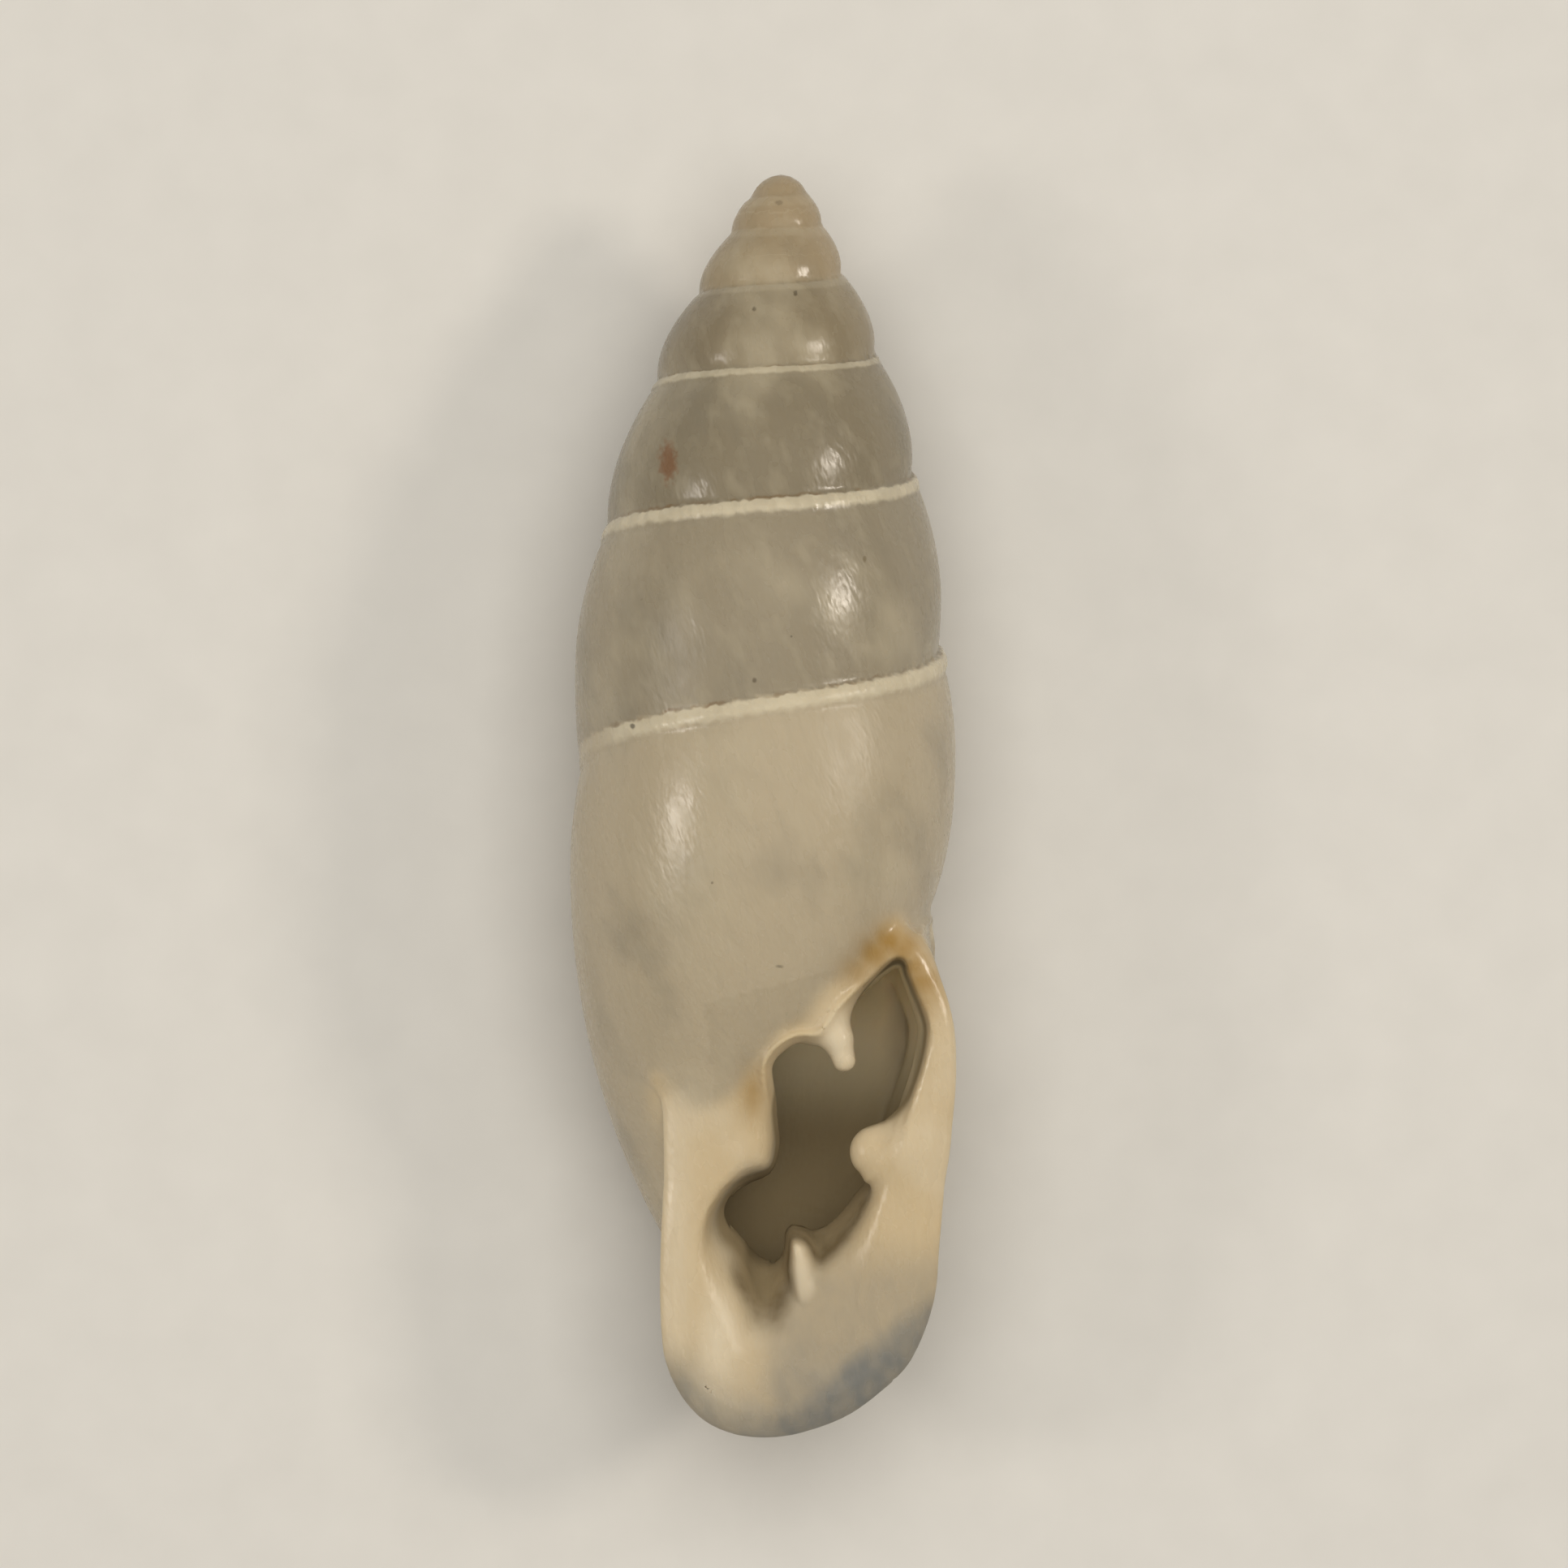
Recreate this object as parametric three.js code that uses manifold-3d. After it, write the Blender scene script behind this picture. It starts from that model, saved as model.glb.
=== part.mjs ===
// A slender land-snail shell, about 22 mm long, lying on its back with the aperture facing up.
// X runs across the shell, Y along it with the apex at +Y, and Z is up, out of the aperture.
// The shell is one natural piece: a wall grown in a right-handed spiral, closed at the apex and open at the
// toothed aperture. Growth is counted in half turns: an even number is the right side, an odd one the left.
import * as THREE from "three";
import { ParametricGeometry } from "three/addons/geometries/ParametricGeometry.js";
import { mergeVertices } from "three/addons/utils/BufferGeometryUtils.js";
import Module from "manifold-3d";

// Driving dimensions, in millimetres.
const SHELL_LENGTH = 22;
const DEPTH_RATIO = 0.95; // front-to-back size of a whorl over its width
const BACK_FLAT = 0.06; // share of the radius lost where the back is slightly flattened
const BACK_SPREAD = 2.2; // how quickly the flattening fades round the back
const BACK_TURN = -4; // degrees from straight down to the middle of the flattening, seen from the apex
const WALL = 0.32; // thickness of the shell wall
const COLUMELLA_RADIUS = 0.36; // pillar left standing along the axis
const CORE_RADIUS = 0.24; // solid heart of that pillar
const SUTURE_TILT = 0.08; // slope of the sutures against the axis
const CORD_WIDTH = 0.095; // width of the thread below a suture, per suture radius
const CORD_PROUD = 0.03; // how far that thread stands out, per suture radius
const FIRST_WHORL = -2; // half turn at which the coiled whorls leave the rounded tip
const LAST_WHORL = 10; // half turn at which the whorl opens into the mouth
const LUMEN_START = 3; // half turn of the innermost hollow
const THROAT_DEPTH = 0.6; // from the lip down to the throat
const DEEP_DEPTH = 1.35; // from the lip down to where the mouth meets the tube
const REST_ROLL = -1.8; // degrees about the long axis, as the shell comes to rest on its back
const REST_PITCH = 0.95; // degrees about the width

// One value for each half turn from FIRST_HALF_TURN on: depth of the suture below the tip, radius of the
// suture, greatest radius of the whorl, where that radius lies, and where the whorl's base meets the axis
// (both as a share of the whorl's height).
const FIRST_HALF_TURN = -5;
const SUTURE_DEPTH = [
  0, 0.06, 0.16, 0.29, 0.49, 0.81, 1.08, 1.64, 2.22, 2.99, 3.78, 5.01, 6.35, 8.04, 10.26, 12.74, 15.74, 19.32,
];
const SUTURE_RADIUS = [
  0, 0.23, 0.34, 0.48, 0.57, 0.76, 0.79, 1.17, 1.34, 1.81, 1.97, 2.54, 2.72, 3.12, 3.03, 2.95, 2.8, 2.6,
];
const WHORL_RADIUS = [
  0.4, 0.5, 0.58, 0.75, 0.8, 1.14, 1.3, 1.78, 1.97, 2.51, 2.74, 3.1, 3.23, 3.4, 3.26, 3.24, 3.2, 3.1,
];
const WIDEST_SHARE = [
  0.9, 0.9, 0.9, 0.9, 0.9, 0.88, 0.86, 0.85, 0.85, 0.87, 0.87, 0.71, 0.58, 0.38, 0.32, 0.35, 0.35, 0.35,
];
const BASE_SHARE = [
  2.1, 2.1, 2.1, 2.1, 2.1, 2.1, 2.1, 2.1, 2.1, 2.1, 2.1, 2.1, 2.1, 1.57, 1.73, 1.31, 1.31, 1.31,
];
const BASE_FULLNESS = [
  2.6, 2.6, 2.6, 2.6, 2.6, 2.6, 2.6, 2.6, 2.6, 2.6, 2.6, 2.6, 2.6, 2.6, 2, 2.6, 2.6, 2.6,
];
const BASE_TAPER = [
  0.7, 0.7, 0.7, 0.7, 0.7, 0.7, 0.7, 0.7, 0.7, 0.7, 0.7, 0.7, 0.7, 0.78, 0.667, 0.5, 0.5, 0.5,
];

// The axis leans a little: its x at even steps of depth from the tip to the base.
const AXIS_X = [0.29, 0.16, 0.08, -0.01, -0.06, -0.09, -0.14, -0.19, -0.23, -0.25, -0.25];

// The rounded tip and the heart of the pillar: depth below the tip and radius.
const CORE_PROFILE = [
  [0, 0],
  [0.03, 0.16],
  [0.09, 0.28],
  [0.2, 0.4],
  [0.38, 0.5],
  [0.7, 0.55],
  [1.1, 0.4],
  [1.6, CORE_RADIUS],
  [20.6, CORE_RADIUS],
  [20.8, 0],
];

// Outlines of the mouth, clockwise from the upper corner, all with matching points: the lip's outer edge, the
// lip's inner edge, the throat, and the way in behind the throat. Where the mouth starts to flare, its outline is
// the last whorl's own profile, at the heights given, closed on the side of the axis.
const LIP_OUTLINE = [
  [2.2, -2.04], [2.63, -2.19], [2.88, -2.47], [3.06, -2.89], [3.3, -3.74],
  [3.36, -4.65], [3.3, -5.64], [3.19, -6.56], [3.12, -7.54], [3.04, -8.6],
  [2.63, -9.66], [1.99, -10.29], [1.3, -10.72], [0.26, -11], [-0.62, -10.93],
  [-1.32, -10.51], [-1.8, -9.66], [-1.9, -8.53], [-1.86, -7.54], [-1.82, -6.42],
  [-1.84, -5.43], [-1.85, -4.75], [-1.2, -4.3], [0.26, -3.6], [1.39, -2.82],
];
const NECK_HEIGHTS = [-1.99, -2.05, -2.4, -2.9, -3.75, -4.7, -5.7, -6.6, -7.55, -8.6, -9.5, -10.05, -10.35, -10.48];
const NECK_INNER_SIDE = [
  [-0.38, -10.35],
  [-0.6, -10.02], [-0.75, -9.5], [-0.85, -8.53], [-0.95, -7.54], [-0.95, -6.42],
  [-0.8, -5.43], [-0.6, -4.47], [-0.38, -3.88], [0.26, -3.46], [1.9, -2.5],
];
const RIM_OUTLINE = [
  [2.25, -2.33], [2.57, -2.44], [2.8, -2.75], [2.94, -3.1], [3.12, -3.81],
  [3.18, -4.65], [3.12, -5.6], [3.01, -6.52], [2.92, -7.52], [2.82, -8.53],
  [2.44, -9.52], [1.85, -10.11], [1.22, -10.52], [0.29, -10.79], [-0.52, -10.72],
  [-1.15, -10.32], [-1.6, -9.55], [-1.7, -8.5], [-1.66, -7.52], [-1.62, -6.39],
  [-1.4, -5.75], [-0.5, -5.6], [0.1, -4.8], [0.82, -4.06], [1.53, -3.43],
];
const THROAT_OUTLINE = [
  [2.27, -2.72], [2.4, -2.92], [2.54, -3.24], [2.67, -3.55], [2.75, -3.88],
  [2.65, -4.44], [2.4, -5.15], [2.12, -6.13], [1.46, -6.98], [0.82, -7.33],
  [0.47, -7.97], [0.36, -8.67], [0.12, -9.24], [-0.17, -9.4], [-0.45, -9.2],
  [-0.69, -8.74], [-0.87, -8.11], [-0.87, -7.47], [-0.73, -6.91], [-0.33, -6.44],
  [0.12, -6.28], [0.22, -5.43], [0.12, -4.47], [0.82, -4.06], [1.53, -3.43],
];

const DEEP_OUTLINE = [
  [2.27, -2.74], [2.4, -2.95], [2.5, -3.25], [2.6, -3.55], [2.66, -3.88],
  [2.58, -4.44], [2.36, -5.15], [2.0, -6.1], [1.44, -6.9], [0.84, -7.25],
  [0.5, -7.8], [0.36, -8.3], [0.14, -8.65], [-0.05, -8.75], [-0.15, -8.5],
  [-0.25, -8.1], [-0.3, -7.7], [-0.45, -7.25], [-0.58, -6.95], [-0.28, -6.5],
  [0.14, -6.3], [0.24, -5.43], [0.14, -4.5], [0.82, -4.08], [1.53, -3.45],
];

// Height of the lip above the axis: it slopes down a little towards the base.
const LIP_HEIGHT_AT_BASE = 1.34;
const LIP_SLOPE = 0.0703;

// Teeth and folds of the mouth: centre, half sizes and turn in the plane of the mouth in degrees.
const TEETH = [
  { name: "parietal tooth", at: [1.29, -3.95, 1.75], half: [0.22, 0.65, 0.72], turn: 16 },
  { name: "columellar fold", at: [-0.22, -5.8, 0.8], half: [0.45, 0.5, 0.62], turn: 10 },
  { name: "palatal tooth", at: [2.15, -6.05, 0.8], half: [0.68, 0.42, 0.62], turn: -8 },
  { name: "basal fold", at: [0.66, -8.1, 0.5], half: [0.2, 0.62, 0.5], turn: 6 },
];

const wasm = await Module();
wasm.setup();

// The value of a table at a half turn, on a smooth curve through its entries.
function along(table, halfTurn) {
  const place = THREE.MathUtils.clamp(halfTurn - FIRST_HALF_TURN, 0, table.length - 1);
  const i = Math.min(Math.floor(place), table.length - 2);
  const f = place - i;
  const before = table[Math.max(i - 1, 0)];
  const after = table[Math.min(i + 2, table.length - 1)];
  const slope0 = (table[i + 1] - before) / 2;
  const slope1 = (after - table[i]) / 2;
  const rise = table[i + 1] - table[i];
  const bend = 3 * rise - 2 * slope0 - slope1;
  const twist = slope0 + slope1 - 2 * rise;
  return table[i] + f * (slope0 + f * (bend + f * twist));
}

// Depth of the suture below the tip, with the lean of the spiral.
function sutureDepth(halfTurn) {
  const lean = SUTURE_TILT * along(SUTURE_RADIUS, halfTurn) * Math.cos(Math.PI * halfTurn);
  return Math.max(0, along(SUTURE_DEPTH, halfTurn) + lean);
}

// Depth at which a whorl's base meets the axis.
function baseDepth(halfTurn) {
  const top = sutureDepth(halfTurn);
  return top + along(BASE_SHARE, halfTurn) * (sutureDepth(halfTurn + 2) - top);
}

// Outer radius of the whorl that passes a half turn, at a depth below the tip.
function whorlRadius(halfTurn, depth) {
  const top = sutureDepth(halfTurn);
  const height = sutureDepth(halfTurn + 2) - top;
  const widest = top + along(WIDEST_SHARE, halfTurn) * height;
  const most = along(WHORL_RADIUS, halfTurn);
  const least = along(SUTURE_RADIUS, halfTurn);
  if (depth < widest) {
    const u = THREE.MathUtils.clamp((depth - top) / (widest - top), 0, 1);
    return least + (most - least) * (1 - (1 - u) ** 1.85);
  }
  const u = THREE.MathUtils.clamp((depth - widest) / (baseDepth(halfTurn) - widest), 0, 1);
  return most * (1 - u ** along(BASE_FULLNESS, halfTurn)) ** along(BASE_TAPER, halfTurn);
}

// A point of the shell from its half turn, its depth below the tip and its distance from the axis.
function place(halfTurn, depth, radius, target) {
  const share = THREE.MathUtils.clamp(depth / SHELL_LENGTH, 0, 1) * (AXIS_X.length - 1);
  const i = Math.min(Math.floor(share), AXIS_X.length - 2);
  const axis = THREE.MathUtils.lerp(AXIS_X[i], AXIS_X[i + 1], share - i);
  const angle = Math.PI * halfTurn;
  const flattest = -Math.PI / 2 + THREE.MathUtils.degToRad(BACK_TURN);
  const fromFlattest = Math.acos(THREE.MathUtils.clamp(Math.cos(angle - flattest), -1, 1));
  const fade = Math.cos(Math.min(fromFlattest * BACK_SPREAD, Math.PI / 2)) ** 2;
  const reach = radius * (1 - BACK_FLAT * fade);
  return target.set(
    axis + reach * Math.cos(angle),
    SHELL_LENGTH / 2 - depth,
    DEPTH_RATIO * reach * Math.sin(angle),
  );
}

// A closed geometry as a solid, with its shared vertices merged and its collapsed triangles dropped. A surface
// that was traced the other way round is turned so that its faces point out.
function solid(geometry) {
  geometry.deleteAttribute("normal");
  geometry.deleteAttribute("uv");
  const merged = mergeVertices(geometry, 1e-4);
  const index = merged.index.array;
  const kept = [];
  for (let i = 0; i < index.length; i += 3) {
    const [a, b, c] = [index[i], index[i + 1], index[i + 2]];
    if (a !== b && b !== c && c !== a) kept.push(a, b, c);
  }
  const build = (triangles) => new wasm.Manifold(new wasm.Mesh({
    numProp: 3,
    vertProperties: merged.attributes.position.array,
    triVerts: new Uint32Array(triangles),
  }));
  const made = build(kept);
  return made.volume() < 0 ? build(kept.toReversed()) : made;
}

// A solid swept through closed rings. ring(s, t, target) gives the point at t round the ring at s along the
// sweep. Each end closes on the middle of its ring.
function sweep(ring, steps, around) {
  const middles = [0, 1].map((s) => {
    const sum = new THREE.Vector3();
    const point = new THREE.Vector3();
    for (let i = 0; i < around; i++) sum.add(ring(s, i / around, point));
    return sum.divideScalar(around);
  });
  const stacks = steps + 2;
  const surface = (u, v, target) => {
    const row = Math.round(v * stacks);
    if (row === 0) return target.copy(middles[0]);
    if (row === stacks) return target.copy(middles[1]);
    return ring((row - 1) / steps, Math.round(u * around) % around / around, target);
  };
  return solid(new ParametricGeometry(surface, around, stacks));
}

// Nearly half a turn of a whorl, filled to the pillar. The ring runs down the outside from the suture thread
// to the base and closes along the axis. Each stretch of growth starts a hair proud of the one before it and
// laps over it, as growth lines do.
const SECTORS = 13;
const GROWTH_LAP = 0.04;
const GROWTH_STEP = 0.006;
const EXPOSED_ROWS = 6;
const BASE_ROWS = 6;
function whorlSector(from, to) {
  const around = EXPOSED_ROWS + BASE_ROWS + 3;
  const ring = (s, t, target) => {
    const halfTurn = THREE.MathUtils.lerp(from, to, s);
    const row = Math.round(t * around);
    const lap = GROWTH_STEP * (1 - 2 * s);
    const top = sutureDepth(halfTurn) - lap;
    const least = along(SUTURE_RADIUS, halfTurn) + lap;
    const cord = CORD_WIDTH * least;
    const proud = CORD_PROUD * least;
    const seam = sutureDepth(halfTurn + 2);
    if (row === 0) return place(halfTurn, top, CORE_RADIUS / 2, target);
    if (row === 1) return place(halfTurn, top, least + proud, target);
    if (row < EXPOSED_ROWS + 2) {
      const depth = top + cord + ((row - 2) / EXPOSED_ROWS) * (seam - top - cord);
      const extra = row === 2 ? 0.5 * proud : 0;
      return place(halfTurn, depth, whorlRadius(halfTurn, depth) + extra + lap, target);
    }
    if (row < around - 1) {
      const share = Math.sin(((row - EXPOSED_ROWS - 2) / BASE_ROWS) * (Math.PI / 2));
      const depth = seam + share * (baseDepth(halfTurn) - seam);
      return place(halfTurn, depth, Math.max(whorlRadius(halfTurn, depth), CORE_RADIUS / 2) + lap, target);
    }
    return place(halfTurn, baseDepth(halfTurn) + lap, CORE_RADIUS / 2, target);
  };
  const steps = from < 4 ? 7 : from < 7 ? 9 : 12;
  return sweep(ring, steps, around);
}

// The hollow of the tube: inside each whorl's wall and outside the whorl before it.
function lumen() {
  const around = 12;
  const half = around / 2;
  const outer = (halfTurn, depth) => {
    const top = sutureDepth(halfTurn);
    const base = baseDepth(halfTurn);
    const stretched = top + ((depth - top) * (base - top)) / (base - top - WALL);
    return whorlRadius(halfTurn, stretched) - WALL;
  };
  const inner = (halfTurn, depth) => Math.max(whorlRadius(halfTurn - 2, depth), COLUMELLA_RADIUS) + 0.02;
  const span = (halfTurn) => {
    const top = sutureDepth(halfTurn);
    const base = baseDepth(halfTurn);
    const open = [];
    for (let i = 0; i <= 200; i++) {
      const depth = top + (i / 200) * (base - top);
      if (outer(halfTurn, depth) - inner(halfTurn, depth) > 0.04) open.push(depth);
    }
    return [open[0], open[open.length - 1]];
  };
  const ring = (s, t, target) => {
    const halfTurn = LUMEN_START + s * (LAST_WHORL + 0.04 - LUMEN_START);
    const [top, bottom] = span(halfTurn);
    const row = Math.round(t * around) % around;
    const share = row <= half ? row / half : (around - row) / half;
    const depth = top + ((1 - Math.cos(Math.PI * share)) / 2) * (bottom - top);
    const radius = row <= half ? outer(halfTurn, depth) : inner(halfTurn, depth);
    const middle = (top + bottom) / 2;
    const heart = (outer(halfTurn, middle) + inner(halfTurn, middle)) / 2;
    const grown = Math.min(1, 0.02 + s * 12);
    return place(halfTurn, middle + (depth - middle) * grown, heart + (radius - heart) * grown, target);
  };
  return sweep(ring, 60, around);
}

// The tip and the heart of the pillar, turned about the leaning axis.
function core() {
  const depths = CORE_PROFILE.map(([depth]) => depth);
  const surface = (u, v, target) => {
    const place0 = v * (CORE_PROFILE.length - 1);
    const i = Math.min(Math.floor(place0), CORE_PROFILE.length - 2);
    const depth = THREE.MathUtils.lerp(depths[i], depths[i + 1], place0 - i);
    const radius = THREE.MathUtils.lerp(CORE_PROFILE[i][1], CORE_PROFILE[i + 1][1], place0 - i);
    return place(2 * Math.round(u * 20) / 20, depth, radius, target);
  };
  return solid(new ParametricGeometry(surface, 20, (CORE_PROFILE.length - 1) * 2));
}

const lipHeight = (y) => LIP_HEIGHT_AT_BASE + LIP_SLOPE * (y + SHELL_LENGTH / 2);

// A ring between two outlines of the mouth: share 0 is the first and 1 the second.
const closedCurve = (points) =>
  new THREE.CatmullRomCurve3(points.map(([x, y]) => new THREE.Vector3(x, y, 0)), true, "catmullrom", 0.5);
const neckPoint = new THREE.Vector3();
const NECK_OUTLINE = NECK_HEIGHTS.map((y) => {
  const depth = SHELL_LENGTH / 2 - y;
  return [place(LAST_WHORL, depth, whorlRadius(LAST_WHORL, depth), neckPoint).x - 0.01, y];
});
const LIP = closedCurve(LIP_OUTLINE);
const NECK = closedCurve([...NECK_OUTLINE, ...NECK_INNER_SIDE]);
const RIM = closedCurve(RIM_OUTLINE);
const THROAT = closedCurve(THROAT_OUTLINE);
const DEEP = closedCurve(DEEP_OUTLINE);
const MOUTH_POINTS = 46;

// A loft through mouth stations. A station names two outlines, the share of the second one, and a height: an
// absolute one, or one measured from the lip.
function mouthLoft(stations) {
  const other = new THREE.Vector3();
  const ring = (s, t, target) => {
    const station = stations[Math.round(s * (stations.length - 1))];
    const sharpness = 2.25 + 0.75 * Math.cos(2 * Math.PI * (t - 0.24));
    const share = station.flaring ? station.share ** sharpness : station.share;
    station.first.getPoint(t, target);
    target.lerp(station.second.getPoint(t, other), share);
    const lip = lipHeight(target.y);
    target.z = station.belowLip === undefined ? station.rise * (lip + 0.15) - 0.15 : lip - station.belowLip;
    return target;
  };
  return sweep(ring, stations.length - 1, MOUTH_POINTS);
}

function bell() {
  const flare = [0, 0.25, 0.5, 0.72, 0.88].map((rise) => (
    { first: NECK, second: LIP, share: rise, rise, flaring: true }
  ));
  return mouthLoft([
    ...flare,
    { first: NECK, second: LIP, share: 1, belowLip: 0.1 },
    { first: LIP, second: RIM, share: 0.45, belowLip: 0 },
  ]);
}

function funnel() {
  const slope = [0, 0.15, 0.35, 0.65, 1].map((fall) => (
    { first: RIM, second: THROAT, share: fall ** 0.6, belowLip: fall * THROAT_DEPTH }
  ));
  return mouthLoft([
    { first: RIM, second: LIP, share: 0.4, belowLip: -0.3 },
    ...slope,
    { first: THROAT, second: DEEP, share: 0.5, belowLip: 0.7 * THROAT_DEPTH + 0.3 * DEEP_DEPTH },
    { first: DEEP, second: DEEP, share: 0, belowLip: DEEP_DEPTH },
    { first: DEEP, second: DEEP, share: 0, rise: 0.03 },
  ]);
}

function tooth({ at, half, turn }) {
  const ball = new THREE.SphereGeometry(1, 14, 9);
  ball.scale(...half);
  ball.rotateZ(THREE.MathUtils.degToRad(turn));
  ball.translate(...at);
  return solid(ball);
}

let grown = core();
const sectorEnd = (i) => THREE.MathUtils.lerp(FIRST_WHORL, LAST_WHORL, i / SECTORS);
for (let i = 0; i < SECTORS; i++) {
  const lapped = i + 1 < SECTORS ? GROWTH_LAP : 0;
  grown = grown.add(whorlSector(sectorEnd(i), sectorEnd(i + 1) + lapped));
}
grown = grown.add(bell()).subtract(lumen()).subtract(funnel());
for (const one of TEETH) grown = grown.add(tooth(one));

const [whole] = grown.decompose().sort((a, b) => b.volume() - a.volume());

const mesh = whole.getMesh();
const shellGeometry = new THREE.BufferGeometry();
shellGeometry.setAttribute("position", new THREE.BufferAttribute(mesh.vertProperties, 3));
shellGeometry.setIndex(new THREE.BufferAttribute(mesh.triVerts, 1));
shellGeometry.computeVertexNormals();

const shell = new THREE.Mesh(
  shellGeometry,
  new THREE.MeshStandardMaterial({ color: 0xb9ae92, roughness: 0.3, metalness: 0 }),
);
shell.name = "shell";

// The shell is turned to the way it rests, with the origin on the ground under the middle of its outline.
shell.rotation.set(THREE.MathUtils.degToRad(REST_PITCH), THREE.MathUtils.degToRad(REST_ROLL), 0);
const outline = new THREE.Box3().setFromObject(shell, true);
const middle = outline.getCenter(new THREE.Vector3());
shell.position.set(-middle.x, -middle.y, -outline.min.z);

const part = new THREE.Group();
part.add(shell);
export default part;
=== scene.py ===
"""A slender land-snail shell, about 22 mm long, lying on its back with its toothed mouth up.

The shell is one grown piece. Its surface is worked out as one smooth field of distances from the same growth values
as the solid model: a wall wound in a right-handed spiral, a thread under each suture, a flared lip, a spoon-shaped
mouth with teeth, and the hollow tube behind it. The field is then turned into a fine mesh and dressed.

Lengths are in millimetres in the shell's own frame (x across, y towards the tip, z out of the mouth) until the mesh
is placed, in metres, as the shell rests. Growth is counted in half turns: even on the right, odd on the left.
"""

import logging
import math
from dataclasses import dataclass, field
from enum import Enum

import bmesh
import bpy
import numpy as np
from mathutils import Matrix, Vector


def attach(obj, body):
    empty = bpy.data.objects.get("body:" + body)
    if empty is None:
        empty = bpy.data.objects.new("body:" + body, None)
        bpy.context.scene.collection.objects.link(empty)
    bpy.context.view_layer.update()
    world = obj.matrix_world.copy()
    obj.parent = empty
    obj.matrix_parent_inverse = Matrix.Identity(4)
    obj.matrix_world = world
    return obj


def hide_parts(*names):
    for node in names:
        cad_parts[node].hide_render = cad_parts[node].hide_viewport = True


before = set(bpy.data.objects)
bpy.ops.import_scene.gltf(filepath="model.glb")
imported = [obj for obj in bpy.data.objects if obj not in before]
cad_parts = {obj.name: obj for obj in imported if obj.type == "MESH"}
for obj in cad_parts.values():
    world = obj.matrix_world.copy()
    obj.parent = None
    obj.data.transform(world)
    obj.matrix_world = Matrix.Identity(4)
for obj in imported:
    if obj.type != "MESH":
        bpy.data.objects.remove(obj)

log = logging.getLogger("shell")

Point = tuple[float, float]
Place = tuple[float, float, float]
Colour = tuple[float, float, float, float]
Socket = bpy.types.NodeSocket

MILLIMETRE = 0.001


def linear(hex_code: str) -> Colour:
    """Turns an sRGB hex colour to linear values.

    Args:
        hex_code: six hex digits.

    Returns:
        Linear red, green and blue, and full opacity.
    """
    parts = [int(hex_code[i : i + 2], 16) / 255 for i in (0, 2, 4)]
    red, green, blue = (c / 12.92 if c <= 0.04045 else ((c + 0.055) / 1.055) ** 2.4 for c in parts)
    return (red, green, blue, 1.0)


def add_node(tree: bpy.types.NodeTree, kind: str, inputs: dict | None = None, **settings: object) -> bpy.types.Node:
    """Adds one node with its settings, values and links.

    Args:
        tree: the node tree that gets it.
        kind: Blender's name for the kind of node.
        inputs: socket name or number to a value, or to the output socket that feeds it.
        settings: properties of the node itself.

    Returns:
        The new node.
    """
    node = tree.nodes.new(kind)
    for name, value in settings.items():
        setattr(node, name, value)
    for name, value in (inputs or {}).items():
        if isinstance(value, Socket):
            tree.links.new(value, node.inputs[name])
        else:
            node.inputs[name].default_value = value
    return node


def smoothstep(low: float, high: float, values: np.ndarray) -> np.ndarray:
    """Rises from 0 at low to 1 at high, with level ends; high may be the smaller."""
    t = np.clip((values - low) / (high - low), 0, 1)
    return t * t * (3 - 2 * t)


def smooth_min(a: np.ndarray, b: np.ndarray, reach: float | np.ndarray) -> np.ndarray:
    """Joins two distances with a fillet.

    Args:
        a: distances to the first form, negative inside.
        b: distances to the second form.
        reach: how far the fillet spreads, in mm.

    Returns:
        Distances to both forms together.
    """
    share = np.clip(1 - np.abs(a - b) / reach, 0, 1)
    return np.minimum(a, b) - share * share * reach / 4


def smooth_max(a: np.ndarray, b: np.ndarray, reach: float | np.ndarray) -> np.ndarray:
    """Keeps what is inside both distances, with a rounded edge."""
    return -smooth_min(-a, -b, reach)


def smooth_curve(
    before: np.ndarray, start: np.ndarray, end: np.ndarray, after: np.ndarray, share: float | np.ndarray
) -> np.ndarray:
    """Goes from start to end on a smooth curve that also heeds the values before and after them."""
    slope0, slope1, rise = (end - before) / 2, (after - start) / 2, end - start
    return start + share * (slope0 + share * ((3 * rise - 2 * slope0 - slope1) + share * (slope0 + slope1 - 2 * rise)))


@dataclass(frozen=True)
class Patch:
    """A soft oval place on the side that faces the eye: its middle and its reach in mm, and its strength."""

    at: Point
    reach: Point
    strength: float = 1.0

    def share(self, x: np.ndarray, y: np.ndarray) -> np.ndarray:
        """The patch's strength at each place, which fades outwards."""
        across, up = (x - self.at[0]) / self.reach[0], (y - self.at[1]) / self.reach[1]
        return self.strength * np.exp(-(across**2) - up**2)


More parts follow.
